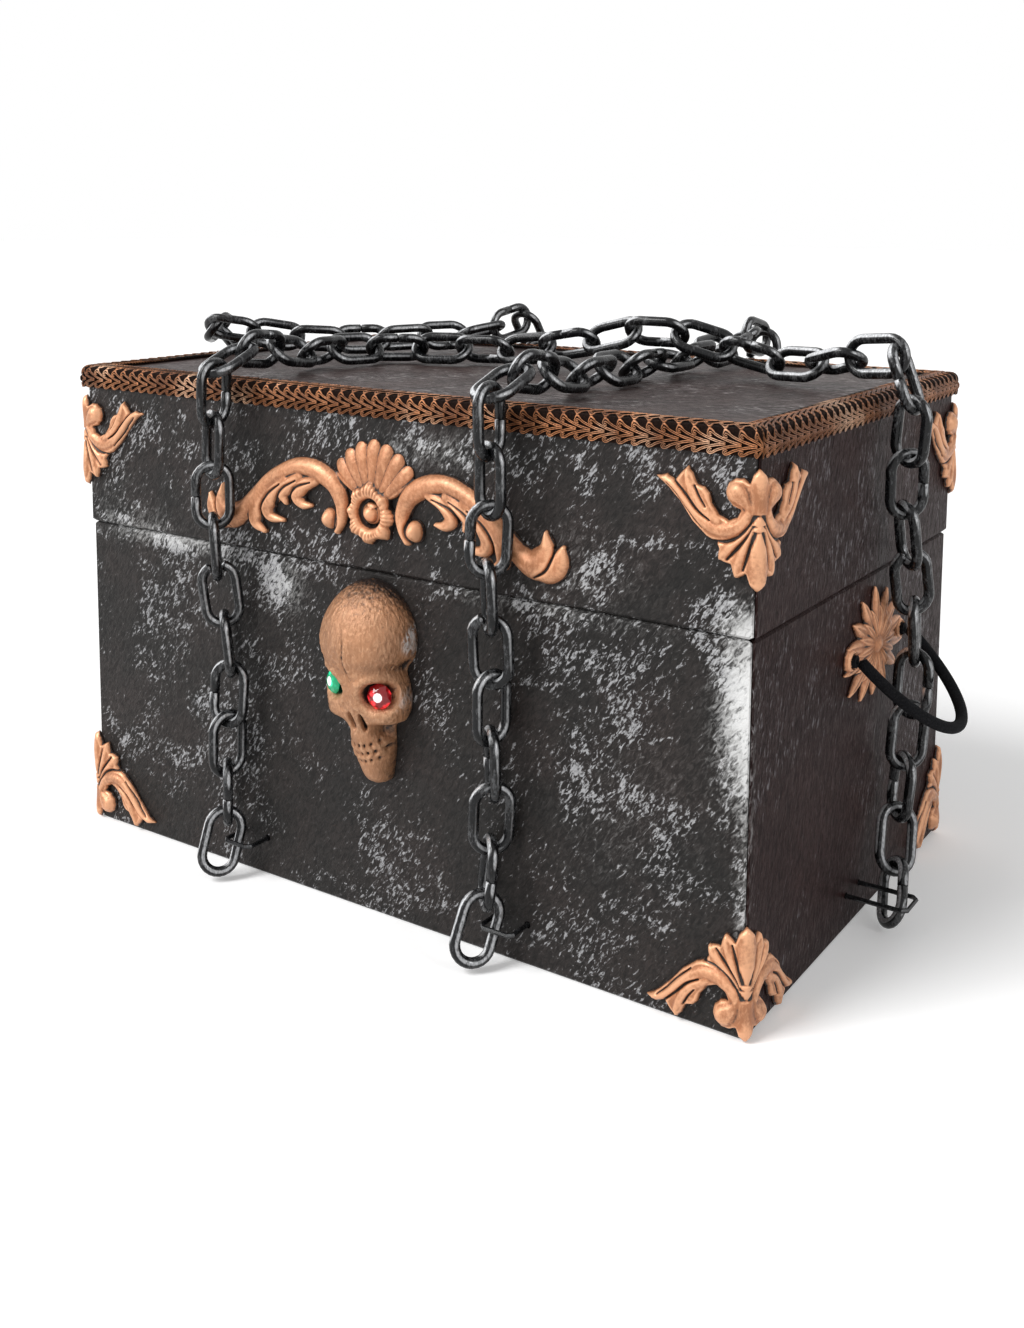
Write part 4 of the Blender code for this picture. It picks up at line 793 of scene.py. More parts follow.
def reach_point(route, start, origin, reach):
    """The first place after the start of the route that is the reach away from the origin."""
    for place in range(start, len(route) - 1):
        if (route[place + 1] - origin).length >= reach:
            near = 0.0
            far = 1.0
            for halving in range(HALVINGS):
                middle = (near + far) / 2
                if (route[place].lerp(route[place + 1], middle) - origin).length < reach:
                    near = middle
                else:
                    far = middle
            return place, route[place].lerp(route[place + 1], far)
    return None


def zone_of(head, tail):
    """Whether a link hangs on the base or belongs to the lid."""
    if (head.z + tail.z) / 2 < SEAM_HEIGHT:
        return "lower"
    return "lid"


def hook_links(route):
    """Links hooked one into the next along a route, in groups that break where the zone changes."""
    groups = []
    head = route[0]
    index = 0
    found = reach_point(route, index, head, LINK_REACH)
    while found:
        index, tail = found
        zone = zone_of(head, tail)
        if not groups or groups[-1][0] != zone:
            groups.append((zone, []))
        groups[-1][1].append((head, tail))
        ahead = reach_point(route, index, tail, LINK_PITCH)
        if ahead is None:
            break
        along = (tail - head).normalized()
        bend = (along + (ahead[1] - tail).normalized()).normalized()
        bend /= bend.dot(along)
        joined = reach_point(route, index, tail - bend * LINK_SEAT, LINK_REACH)
        loose = reach_point(route, index, tail - bend * LOOSE_SEAT, LINK_REACH)
        if joined is None or loose is None:
            break
        same = zone_of(tail - bend * LINK_SEAT, joined[1]) == zone
        head = tail - bend * (LINK_SEAT if same else LOOSE_SEAT)
        found = reach_point(route, index, head, LINK_REACH)
    return groups


def link_count(groups):
    """How many links the groups hold."""
    return sum(len(links) for zone, links in groups)


def fit_links(route_for):
    """Lengthens a chain's wander over the lid until one more link just reaches the end of its route."""
    wanted = link_count(hook_links(route_for(1.0))) + 1
    short = 1.0
    long = 1.0 + WANDER_STEP
    while link_count(hook_links(route_for(long))) < wanted:
        short = long
        long += WANDER_STEP
    for halving in range(HALVINGS):
        middle = (short + long) / 2
        if link_count(hook_links(route_for(middle))) < wanted:
            short = middle
        else:
            long = middle
    return hook_links(route_for(long))


def link_place(head, tail, lean):
    """The position of a link that leans by an angle from the surface under it."""
    along = (tail - head).normalized()
    out = outward((head + tail) / 2)
    out = (out - along * out.dot(along)).normalized()
    across = along.cross(out)
    side = across * math.cos(lean) + out * math.sin(lean)
    turn = Matrix((side, along.cross(side), along)).transposed().to_4x4()
    return Matrix.Translation((head + tail) / 2) @ turn


def link_line():
    """The middle of a link's wire, from its right side round by the top, in the XZ plane, long along Z."""
    half_straight = (LINK_LENGTH - LINK_WIDTH) / 2
    line = []
    for end in (1, -1):
        for step in range(BEND_STEPS + 1):
            angle = math.pi * step / BEND_STEPS
            side = end * LINK_BEND_RADIUS * math.cos(angle)
            line.append(Vector((side, 0, end * (half_straight + LINK_BEND_RADIUS * math.sin(angle)))))
    return line


def open_line(opening, half_width):
    """A link's wire cut open: in the middle of a side, or at the top or bottom of a bend."""
    line = link_line()
    half = BEND_STEPS // 2
    if opening == "side":
        start = Vector((LINK_BEND_RADIUS, 0, half_width))
        end = Vector((LINK_BEND_RADIUS, 0, -half_width))
        return [start] + line + [end]
    centre = half if opening == "top" else BEND_STEPS + 1 + half
    turned = line[centre:] + line[:centre + 1]
    sign = 1 if opening == "top" else -1
    reach = (LINK_LENGTH - LINK_WIDTH) / 2
    kept = [point for point in turned if not (abs(point.x) < half_width and sign * point.z > reach)]
    apex = sign * (reach + math.sqrt(LINK_BEND_RADIUS ** 2 - half_width ** 2))
    first = -half_width if kept[0].x < 0 else half_width
    return [Vector((first, 0, apex))] + kept + [Vector((-first, 0, apex))]


def link_shape(opening=None):
    """Points and faces of one link."""
    if opening is None:
        return tube(link_line(), LINK_WIRE / 2, WIRE_SIDES, closed=True, start_side=Vector((0, 1, 0)))
    half_width = SLIT_HALF_WIDTH if opening == "side" else SEAM_SLIT_HALF_WIDTH
    return tube(open_line(opening, half_width), LINK_WIRE / 2, WIRE_SIDES, start_side=Vector((0, 1, 0)))


LINK_SHAPES = {opening: link_shape(opening) for opening in (None, "side", "top", "bottom")}


def placed_links(groups, twists, eases, low_place):
    """Each strand of a chain with the numbers and positions of its links.

    Each link is turned a quarter from the one before it, but less where the chain is twisted and where
    it eases into and out of a fold over an edge. One that lies near the low place lies flatter.
    """
    number = 0
    lean = -LINK_LEAN
    strands = []
    for zone, links in groups:
        places = []
        for head, tail in links:
            from_low = math.inf if low_place is None else ((head + tail) / 2 - low_place).to_2d().length
            crossed = from_low < LINK_PITCH / 2
            own_lean = math.copysign(CROSSED_LEAN, math.sin(2 * lean)) if crossed else lean
            places.append((number, link_place(head, tail, own_lean)))
            number += 1
            lean += LINK_TWIST_TURN if number in twists else LINK_EASE_TURN if number in eases else LINK_TURN
        strands.append((zone, places))
    return strands


def link_opening(zone, strand, number, first, last):
    """Where a link is cut open: every other one in a side, the base's last one widely towards the lid."""
    if zone == "lower" and strand == 0 and last:
        return "top"
    if zone == "lower" and strand > 0 and first:
        return "bottom"
    return "side" if number % 2 else None


def add_chain(groups, cad_names, twists=(), eases=(), low_place=None):
    """The links of one chain, one piece for each strand; each takes the place of one of the frame's strands,
    which it hides.
    """
    strands = placed_links(groups, twists, eases, low_place)
    for index, ((zone, places), cad_name) in enumerate(zip(strands, cad_names)):
        shapes = []
        for order, (number, place) in enumerate(places):
            opening = link_opening(zone, index, number, order == 0, order == len(places) - 1)
            points, faces = LINK_SHAPES[opening]
            shapes.append(([place @ point for point in points], faces))
        points, faces = gather(shapes)
        name = cad_name.replace("chain", "links")
        body = "base" if zone == "lower" else "lid"
        strand = add_piece(name, mesh_of(name, points, faces), body, chain_finish)
        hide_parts(cad_name)


add_chain(
    fit_links(front_to_right_route), ("chain_front_left_lower", "chain_front_to_right", "chain_right_lower"),
    twists=(2, 3, 4, 32, 33, 34), eases=(8, 9, 11, 12, 25, 26, 28, 29),
)
add_chain(
    hook_links(left_to_back_route(1.0)), ("chain_left_lower", "chain_left_to_back"),
    eases=(8, 9, 11, 12, 18, 19, 21, 22),
)
add_chain(
    hook_links(front_to_back_route(1.0)), ("chain_front_right_lower", "chain_front_to_back"),
    twists=(4, 5, 6), eases=(8, 9, 11, 12, 19, 20, 22, 23), low_place=CHAIN_CROSSING,
)


# Relief castings: heights over a fine grid, in millimetres

RELIEF_CELL = 0.45
RELIEF_EDGE = 0.5
BLEND_SHARPNESS = 3.0
LOWEST = -4.0
NARROWEST = 0.15
FAR_AWAY = 1e9
TINY = 1e-9
TINY_SLOPE = 1e-6
GROOVE_WIDTH = 0.2
FULL_GROOVE_HALF_WIDTH = 2.5
MOST_MOVED = 1.2
BACK_CAVITY = 0.3


class Relief:
    """A field of heights; shapes are added with a soft maximum and cut out afterwards."""

    def __init__(self, low, high):
        self.u, self.v = np.meshgrid(*(
            np.arange(start, end + RELIEF_CELL, RELIEF_CELL) for start, end in zip(low, high)
        ))
        self.total = np.full(self.u.shape, math.exp(BLEND_SHARPNESS * LOWEST))
        self.cuts = np.zeros(self.u.shape)

    def lay(self, height):
        """Adds a field of heights."""
        self.total += np.exp(BLEND_SHARPNESS * np.maximum(height, LOWEST))

    def nearest(self, rows):
        """For each grid point: distance from a line over its half width, signed side, and half width."""
        best = np.full(self.u.shape, FAR_AWAY)
        side = np.zeros(self.u.shape)
        width = np.ones(self.u.shape)
        for (ax, ay, aw), (bx, by, bw) in zip(rows, rows[1:]):
            dx, dy = bx - ax, by - ay
            length = dx * dx + dy * dy + TINY
            t = np.clip(((self.u - ax) * dx + (self.v - ay) * dy) / length, 0, 1)
            px, py = self.u - ax - t * dx, self.v - ay - t * dy
            here = np.maximum(aw + (bw - aw) * t, NARROWEST)
            ratio = np.hypot(px, py) / here
            closer = ratio < best
            best = np.where(closer, ratio, best)
            side = np.where(closer, (dx * py - dy * px) / math.sqrt(length) / here, side)
            width = np.where(closer, here, width)
        return best, side, width

    def stroke(self, rows, height, power, thin=0.5, groove=0.0):
        """A rounded band of changing width, lower where it is thin, with a groove of a depth along it."""
        dense = smooth_rows(rows)
        best, side, width = self.nearest(dense)
        field = height * (width / dense[:, 2].max()) ** thin * (1 - best ** power)
        if groove:
            fullness = np.clip(width / FULL_GROOVE_HALF_WIDTH, 0.2, 1)
            field = field - groove * np.exp(-(side / GROOVE_WIDTH) ** 2) * fullness
        self.lay(field)

    def plate(self, outline, height, bevel):
        """A solid leaf inside an outline, rounded down to its edge."""
        inside = np.zeros(self.u.shape, dtype=bool)
        nearest = np.full(self.u.shape, FAR_AWAY)
        for (ax, ay), (bx, by) in zip(outline, outline[1:] + outline[:1]):
            dx, dy = bx - ax, by - ay
            t = np.clip(((self.u - ax) * dx + (self.v - ay) * dy) / (dx * dx + dy * dy), 0, 1)
            nearest = np.minimum(nearest, np.hypot(self.u - ax - t * dx, self.v - ay - t * dy))
            if ay != by:
                inside ^= ((ay > self.v) != (by > self.v)) & (self.u < dx * (self.v - ay) / dy + ax)
        signed = np.where(inside, nearest, -nearest) / bevel
        rounded = np.sin(np.clip(signed, 0, 1) * math.pi / 2)
        self.lay(height * np.where(signed > 0, rounded, signed * math.pi / 2))

    def ball(self, centre, radius, height, squash=1.0, power=2.0):
        """A round boss."""
        ratio = np.hypot((self.u - centre[0]) / squash, self.v - centre[1]) / radius
        self.lay(height * (1 - ratio ** power))

    def cut(self, hollow):
        """Cuts a field of depths, where it is deeper than what is cut already."""
        self.cuts = np.maximum(self.cuts, hollow)

    def cut_line(self, rows, depth):
        """A fine hollow along a line of changing width."""
        best = self.nearest(smooth_rows(rows))[0]
        self.cut(depth * np.exp(-best ** 2))

    def ring(self, centre, radius, width, depth, squash=1.0):
        """A round hollow."""
        ratio = np.hypot((self.u - centre[0]) / squash, self.v - centre[1])
        self.cut(depth * np.exp(-((ratio - radius) / width) ** 2))

    def heights(self):
        """The finished heights."""
        field = np.log(self.total) / BLEND_SHARPNESS
        return field - self.cuts * np.clip(field, 0, 1)


def blurred(field, rounds):
    """A field softened over its neighbours."""
    for turn in range(rounds):
        for axis in (0, 1):
            field = (np.roll(field, 1, axis) + 2 * field + np.roll(field, -1, axis)) / 4
    return field


def outlined(relief, field):
    """The grid's places, with those just outside the relief moved onto its outline."""
    slope_v, slope_u = np.gradient(field, RELIEF_CELL)
    steep = slope_u ** 2 + slope_v ** 2 + TINY_SLOPE
    move = np.where(field > 0, 0, -field / steep)
    reach = np.sqrt(steep) * np.abs(move)
    move = move * np.minimum(1, RELIEF_CELL * MOST_MOVED / np.maximum(reach, TINY))
    return relief.u + move * slope_u, relief.v + move * slope_v


def open_sides(cells):
    """The sides of some cells that no other cell shares."""
    sides = {}
    for cell in cells:
        for a, b in zip(cell, cell[1:] + cell[:1]):
            if (b, a) in sides:
                del sides[(b, a)]
            else:
                sides[(a, b)] = True
    return sides


def relief_mesh(name, relief, place):
    """A closed casting: the heights on top, a flat back, placed by a function of u, v and height."""
    field = relief.heights()
    u, v = outlined(relief, field)
    inside = field > 0
    height = np.where(inside, field, 0)
    level = np.maximum(field, 0)
    # Cavity: low in grooves for the dark wash and painted shade, high on crests for the rubs and painted
    # highlights
    hollow = 0.54 + (level - blurred(level, 6)) * 0.95 + (level - blurred(level, 40)) * 0.12
    rows, columns = np.nonzero(inside[:-1, :-1] | inside[1:, :-1] | inside[:-1, 1:] | inside[1:, 1:])
    used = np.zeros(field.shape, dtype=bool)
    for down in (0, 1):
        for over in (0, 1):
            used[rows + down, columns + over] = True
    count = int(used.sum())
    order = np.full(field.shape, -1)
    order[used] = np.arange(count)
    corners = np.stack((
        order[rows, columns], order[rows, columns + 1],
        order[rows + 1, columns + 1], order[rows + 1, columns],
    ), axis=1)
    top = place(u[used], v[used], height[used] + RELIEF_EDGE)
    back = place(u[used], v[used], np.zeros(count))
    faces = corners.tolist() + (corners[:, ::-1] + count).tolist()
    faces += [[b, a, a + count, b + count] for a, b in open_sides(corners.tolist())]
    mesh = mesh_of(name, np.vstack((top, back)), faces)
    store_values(mesh, "cavity", np.concatenate((hollow[used], np.full(count, BACK_CAVITY))))
    return mesh


def wall_place(face_y):
    """Places a relief on the front, over a wall at a depth."""
    def place(u, v, height):
        return np.stack((u * MM, face_y - GAP - height * MM, v * MM), axis=1)
    return place


# Corner ornaments: reach from the edge and height, in millimetres

EDGE_RADIUS = 1.5
CORNER_OUTLINE = (
    (-4.0, -2.6), (0.0, 0.0), (2.6, 3.4), (4.0, 7.2), (7.6, 5.2), (9.9, 6.6), (11.2, 10.6), (15.2, 11.4),
    (17.4, 14.2), (16.8, 17.0), (18.0, 19.6), (22.6, 21.4), (29.4, 27.2), (35.6, 35.2), (41.0, 40.6),
    (47.6, 45.4), (42.0, 47.0), (37.8, 45.2), (35.4, 48.2), (32.0, 51.4), (29.2, 48.4), (27.0, 44.0),
    (23.6, 43.0), (21.4, 40.6), (20.0, 36.4), (16.6, 32.0), (12.2, 30.2), (8.6, 31.8), (7.2, 34.6),
    (10.6, 35.8), (13.4, 38.8), (14.2, 42.4), (13.0, 46.0), (9.6, 48.4), (5.8, 48.6), (3.0, 47.2),
    (1.8, 50.4), (0.0, 53.0), (-4.0, 53.0),
)
CORNER_LEAVES = (
    ((0.0, 29.0, 1.0), (0.0, 20.0, 2.2), (0.0, 10.0, 3.4), (0.0, 1.6, 0.8)),
    ((1.2, 28.0, 1.0), (4.8, 18.6, 2.9), (7.6, 11.0, 3.2), (8.4, 6.4, 1.2)),
    ((2.4, 28.0, 1.2), (8.0, 21.4, 3.0), (13.2, 16.4, 3.4), (15.8, 13.2, 1.4)),
)
CORNER_HORNS = (
    ((3.2, 34.0, 2.4), (6.4, 29.0, 3.6), (12.0, 25.8, 4.2), (18.6, 25.6, 4.0), (25.0, 29.4, 3.6),
     (31.2, 35.8, 3.2), (37.0, 41.6, 2.8), (43.6, 45.0, 1.2)),
    ((17.0, 28.6, 2.6), (23.4, 33.4, 3.6), (28.2, 39.4, 3.8), (31.4, 45.4, 2.6), (32.0, 49.4, 1.0)),
)
CORNER_BALL = ((2.6, 33.0, 1.6), (3.4, 36.6, 2.4), (5.6, 39.6, 4.4), (8.2, 42.0, 6.0))
CORNER_SPIKE = ((0.0, 37.0, 0.8), (0.0, 44.0, 1.8), (0.0, 48.6, 1.8), (0.0, 52.0, 0.6))
CORNER_VEINS = (
    ((18.4, 20.2, 0.7), (12.6, 20.8, 0.8), (7.2, 23.4, 0.8), (2.6, 28.6, 0.7), (0.6, 33.0, 0.5)),
    ((12.6, 12.8, 0.5), (8.4, 17.6, 0.8), (3.8, 23.2, 0.7), (1.0, 28.6, 0.4)),
    ((5.0, 9.2, 0.4), (3.4, 14.6, 0.7), (1.6, 21.0, 0.6), (0.6, 26.0, 0.4)),
    ((20.6, 29.2, 0.3), (26.4, 32.8, 0.6), (32.2, 39.0, 0.6), (37.4, 44.2, 0.5)),
    ((22.6, 34.6, 0.3), (25.6, 38.6, 0.5), (28.2, 43.2, 0.4)),
    ((24.6, 25.4, 0.3), (31.2, 31.8, 0.45), (37.0, 38.6, 0.45), (41.4, 43.0, 0.3)),
)
CORNER_VEIN_DEPTH = 1.7
CORNER_PLACES = (("front_right", 1, -1), ("back_right", 1, 1), ("back_left", -1, 1), ("front_left", -1, -1))


def corner_relief():
    """One acanthus corner, the same on both walls: forked horns and a curl above a leaf on the edge."""
    relief = Relief((-51, -1), (51, 54))
    reach = relief.u
    relief.u = np.abs(reach)
    relief.plate(CORNER_OUTLINE, height=2.5, bevel=1.5)
    for horn in CORNER_HORNS:
        relief.stroke(horn, height=3.9, power=2.6, thin=0.3)
    relief.stroke(CORNER_BALL, height=5.2, power=2.8)
    for leaf in CORNER_LEAVES:
        relief.stroke(leaf, height=3.5, power=2.0, thin=0.3)
    relief.stroke(CORNER_SPIKE, height=3.0, power=2.2)
    for vein in CORNER_VEINS:
        relief.cut_line(vein, CORNER_VEIN_DEPTH)
    relief.u = reach
    return relief


def corner_place(corner_x, corner_y, tip_z, upright):
    """Bends a relief round a vertical edge; the positive side lies along the front or back wall."""
    sign_x = math.copysign(1, corner_x)
    sign_y = math.copysign(1, corner_y)
    arc = EDGE_RADIUS * math.pi / 4

    def place(u, v, height):
        turn = np.clip(u / arc, -1, 1) * math.pi / 4
        run = np.maximum(np.abs(u) - arc, 0)
        out = EDGE_RADIUS + GAP / MM + height
        angle = math.pi / 4 + turn
        x = corner_x / MM + sign_x * (-EDGE_RADIUS + np.cos(angle) * out - np.where(u > 0, run, 0))
        y = corner_y / MM + sign_y * (-EDGE_RADIUS + np.sin(angle) * out - np.where(u < 0, run, 0))
        z = tip_z / MM + v * (1 if upright else -1)
        return np.stack((x, y, z), axis=1) * MM
    return place


def add_corners(shape, level, width, depth, upright):
    """The four corner ornaments of the lid or the base, each in the place of the frame's own."""
    for place_name, sign_x, sign_y in CORNER_PLACES:
        cad_name = "corner_" + level + "_" + place_name
        low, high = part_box(cad_name)
        tip = low.z if upright else high.z
        name = "acanthus_" + level + "_" + place_name
        place = corner_place(sign_x * width / 2, sign_y * depth / 2, tip, upright)
        mesh = relief_mesh(name, shape, place)
        if (sign_x * sign_y > 0) == upright:
            mesh.flip_normals()
        piece = add_piece(name, mesh, "lid" if upright else "base", copper)
        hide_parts(cad_name)


corner_shape = corner_relief()
add_corners(corner_shape, "upper", CHEST_WIDTH, CHEST_DEPTH, upright=True)
add_corners(corner_shape, "lower", BASE_WIDTH, BASE_DEPTH, upright=False)


# Scroll ornament: places along the front, and heights above the floor, in millimetres

SCROLL_MIDDLE = 3.0
FLOWER_CENTRE = (2.8, 211.0)
FLOWER_SQUASH = 1.1
FLOWER_RADIUS = 14.2
FLOWER_HEIGHT = 5.4
PETAL_TOP_RADIUS = 10.6
SHELL_FOOT = (4.0, 213.0)
SHELL_RADIUS = 35.5
SHELL_RAYS = 8
SHELL_RAY_TURN = math.radians(15.5)
SCROLL_BAND = (
    (22.4, 199.6, 2.4), (19.8, 205.4, 3.6), (19.4, 213.4, 4.7), (24.4, 222.6, 5.6), (35.0, 228.4, 5.9),
    (47.5, 229.8, 5.2), (60.0, 225.4, 4.9), (70.0, 219.0, 5.0), (79.0, 210.6, 5.2), (88.0, 202.4, 5.8),
    (95.5, 198.8, 7.4), (101.0, 200.2, 8.0), (103.6, 206.4, 4.8), (103.0, 214.4, 1.2),
)
SCROLL_LEAVES = (
    ((97.0, 196.4, 3.6), (104.6, 196.8, 5.4), (110.0, 201.0, 4.6), (112.4, 208.4, 1.2)),
    ((66.0, 221.0, 3.4), (75.0, 212.0, 4.4), (79.0, 204.0, 4.4), (79.2, 197.0, 3.4), (73.0, 192.8, 1.3)),
    ((57.0, 222.4, 3.4), (65.8, 214.6, 4.4), (70.6, 207.2, 4.2), (68.4, 201.4, 3.0), (59.6, 200.2, 1.1)),
    ((47.0, 225.0, 3.2), (55.0, 220.0, 4.0), (59.4, 215.0, 3.6), (57.4, 209.8, 1.3)),
    ((36.0, 224.6, 2.8), (45.0, 220.6, 3.8), (49.4, 214.6, 3.8), (45.8, 210.4, 2.6), (40.0, 210.2, 1.0)),
)
LEAF_FULLNESS = 1.2
SCROLL_BALL = (27.2, 205.2)
SCROLL_BALL_SQUASH = 0.88
SCROLL_VEINS = (
    ((60.0, 219.6, 0.4), (68.4, 213.8, 0.9), (74.2, 206.0, 0.9), (74.6, 199.6, 0.6)),
    ((49.0, 222.6, 0.4), (58.6, 217.4, 0.9), (64.2, 210.0, 0.9), (64.4, 204.6, 0.6)),
    ((39.0, 222.6, 0.4), (48.6, 219.4, 0.9), (53.6, 214.0, 0.8), (53.0, 209.4, 0.5)),
    ((97.0, 192.6, 0.4), (104.0, 197.0, 0.8), (107.4, 203.6, 0.7), (107.8, 209.0, 0.4)),
)
SCROLL_VEIN_DEPTH = 1.9


def shell_field(u, v):
    """Heights of a shell whose rays spread upward from its foot."""
    over, up = u - SHELL_FOOT[0], v - SHELL_FOOT[1]
    turn = np.arctan2(over, up)
    far = np.hypot(over, up)
    lobe = np.abs(np.cos(math.pi * turn / SHELL_RAY_TURN))
    rim = SHELL_RADIUS * (0.93 + 0.07 * lobe ** 0.6) * (1 - 0.10 * np.abs(np.sin(turn)))
    spread = np.abs(turn) / (SHELL_RAYS * SHELL_RAY_TURN / 2)
    body = 3.0 * (1 - (far / rim) ** 9 - np.minimum(spread, 1.4) ** 14)
    return body + 0.8 * (lobe ** 0.7 - 1) * np.clip(far / 20, 0, 1)


def flower_field(u, v):
    """Heights of a round flower with a wavy, frilled edge."""
    over, up = u - FLOWER_CENTRE[0], (v - FLOWER_CENTRE[1]) / FLOWER_SQUASH
    angle = np.arctan2(up, over)
    far = np.hypot(over, up)
    wave = np.cos(8 * angle + 0.4 + 0.5 * np.sin(2 * angle))
    edge = FLOWER_RADIUS + 1.0 * wave + 0.7 * np.cos(3 * angle + 1.0)
    frill = 0.55 * wave + 0.30 * np.sin(31 * angle + 2.0 * np.sin(5 * angle))
    fall = np.maximum((far - PETAL_TOP_RADIUS) / np.maximum(edge - PETAL_TOP_RADIUS, 1), 0)
    petal = FLOWER_HEIGHT - fall ** 2.4 * FLOWER_HEIGHT
    return petal - np.maximum(PETAL_TOP_RADIUS - far, 0) ** 2 * 0.10 + frill * np.clip((far - 7) / 4, 0, 1)


def scroll_relief():
    """Shell, frilled flower and two leafy C-scrolls, the right one the mirror of the left one."""
    relief = Relief((-114, 186), (120, 254))
    reach = relief.u
    relief.lay(shell_field(reach, relief.v))
    relief.lay(flower_field(reach, relief.v))
    relief.ring(FLOWER_CENTRE, radius=6.6, width=1.35, depth=3.6)
    relief.u = np.abs(reach - SCROLL_MIDDLE)
    relief.stroke(SCROLL_BAND, height=5.4, power=2.4, thin=0.4)
    for leaf in SCROLL_LEAVES:
        fuller = [(u, v, width * LEAF_FULLNESS) for u, v, width in leaf]
        relief.stroke(fuller, height=4.2, power=2.8, thin=0.35)
    relief.ball(SCROLL_BALL, radius=5.9, height=6.6, squash=SCROLL_BALL_SQUASH)
    for vein in SCROLL_VEINS:
        relief.cut_line(vein, SCROLL_VEIN_DEPTH)
    relief.ring(SCROLL_BALL, radius=6.5, width=0.7, depth=1.6, squash=SCROLL_BALL_SQUASH)
    relief.u = reach
    relief.ball(FLOWER_CENTRE, radius=5.2, height=5.6)
    return relief


scroll_mesh = relief_mesh("scroll", scroll_relief(), wall_place(-CHEST_DEPTH / 2))
scroll = add_piece("scroll", scroll_mesh, "lid", copper)
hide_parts("scroll_ornament")


# Palmettes on the sides: depth along the wall and height, in millimetres

PALMETTE_CENTRE = (16.0, 143.0)
PALMETTE_HALF = (40.0, 28.0)
PALMETTE_LEAVES = 14
# Layers of leaves: share of the full size, height and half width
PALMETTE_LAYERS = ((1.0, 2.4, 4.4), (0.66, 3.4, 3.4))
# Along a leaf: share of its length and of its half width
LEAF_SWELL = ((0.2, 0.5), (0.5, 1.0), (0.78, 0.8), (1.0, 0.12))
LEAF_BEND = 2.2
EYELET_RADIUS = 3.6
EYELET_PLAY = 0.4
EYELET_DEPTH = 12.0


def palmette_leaf(turn, size, width):
    """The middle line of a leaf from near the palmette's centre to its tip, with its half widths."""
    wave = 1.0 + 0.07 * math.cos(3 * turn)
    sine, cosine = math.sin(turn), math.cos(turn)
    bend = LEAF_BEND if cosine > 0 else -LEAF_BEND
    return [
        (PALMETTE_CENTRE[0] + sine * PALMETTE_HALF[0] * size * share * wave - cosine * bend * share * share,
         PALMETTE_CENTRE[1] + cosine * PALMETTE_HALF[1] * size * share * wave, width * swell)
        for share, swell in LEAF_SWELL
    ]


def palmette_relief():
    """A spray of pointed leaves in two layers round an oval, with an eyelet round each rope hole."""
    relief = Relief((-26, 113), (58, 173))
    for layer, (size, height, width) in enumerate(PALMETTE_LAYERS):
        for leaf in range(PALMETTE_LEAVES):
            turn = 2 * math.pi * (leaf + 0.5 * layer) / PALMETTE_LEAVES
            relief.stroke(palmette_leaf(turn, size, width), height, power=2.6, thin=0.35, groove=0.6)
    relief.ball(PALMETTE_CENTRE, radius=6.0, height=4.2, squash=1.4)
    for side in (-1, 1):
        hole = (PALMETTE_CENTRE[0] + side * HANDLE_SPREAD / 2 / MM, PALMETTE_CENTRE[1])
        relief.ball(hole, radius=6.4, height=3.4, power=4.0)
        far = np.hypot(relief.u - hole[0], relief.v - hole[1])
        relief.cuts = np.where(far < EYELET_RADIUS + EYELET_PLAY, EYELET_DEPTH, relief.cuts)
        relief.ring(hole, radius=5.3, width=0.5, depth=0.5)
    return relief


def side_place(side):
    """Places a relief on a side wall."""
    def place(u, v, height):
        return np.stack((side * (BASE_WIDTH / 2 + GAP + height * MM), u * MM, v * MM), axis=1)
    return place


def add_palmette(side, label):
    """A side's palmette; the left one is the mirror of the right one."""
    name = "palmette_" + label
    mesh = relief_mesh(name, palmette_relief(), side_place(side))
    if side < 0:
        mesh.flip_normals()
    palmette = add_piece(name, mesh, "base", copper)
    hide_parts("side_ornament_" + label)


add_palmette(1, "right")
add_palmette(-1, "left")


# Skull: height above the floor, middle, half width and depth of each level, in millimetres

SKULL_LEVELS = (
    (73.4, 8.4, 2.0, 4.0), (74.6, 8.2, 4.8, 8.0), (78.0, 7.8, 6.9, 12.0), (85.0, 7.0, 8.7, 14.6),
    (92.0, 6.2, 10.4, 16.6), (99.0, 5.4, 11.0, 17.8), (103.5, 4.8, 11.6, 18.2), (106.5, 4.0, 15.0, 18.6),
    (109.5, 3.4, 19.6, 19.2), (114.0, 2.8, 23.2, 20.4), (120.0, 2.4, 24.2, 21.6), (127.0, 2.2, 23.2, 23.0),
    (134.0, 1.6, 21.8, 24.6), (141.0, 2.2, 25.8, 26.4), (149.0, 2.5, 27.2, 26.6), (158.0, 2.8, 25.4, 24.2),
    (166.0, 3.0, 21.0, 20.0), (172.0, 3.0, 15.0, 14.4), (175.6, 3.0, 8.6, 8.4), (177.2, 3.0, 2.4, 2.4),
)
SKULL_LEVEL_STEPS = 9
SKULL_ROUND_STEPS = 200
SKULL_SQUARENESS = 0.92
SKULL_LEAST = 0.5
LEAST_NORMAL = 1e-6
SKULL_MIDDLE = 3
SKULL_EYES = ((18.0, 123.0), (-9.6, 125.6))
SKULL_EYE_HALF = (8.0, 7.0)
SOCKET_DEPTH = 7.0
CHEEK_HEIGHT = 111.5
CHEEK_HOLLOW_HEIGHT = 103.0
TEMPLE_HEIGHT = 135.0
SKULL_NOSE = (6.0, 108.4)
NOSTRIL_DEPTH = 4.6
# Lines between the teeth: height, depth and shift sideways
TOOTH_ROWS = ((95.8, 1.5, 0.0), (91.6, 1.9, 1.4), (87.4, 1.5, 0.5))
TOOTH_WIDTH = 2.9
TEETH_MIDDLE = 6.0
CREASE_FOOT = 134.0
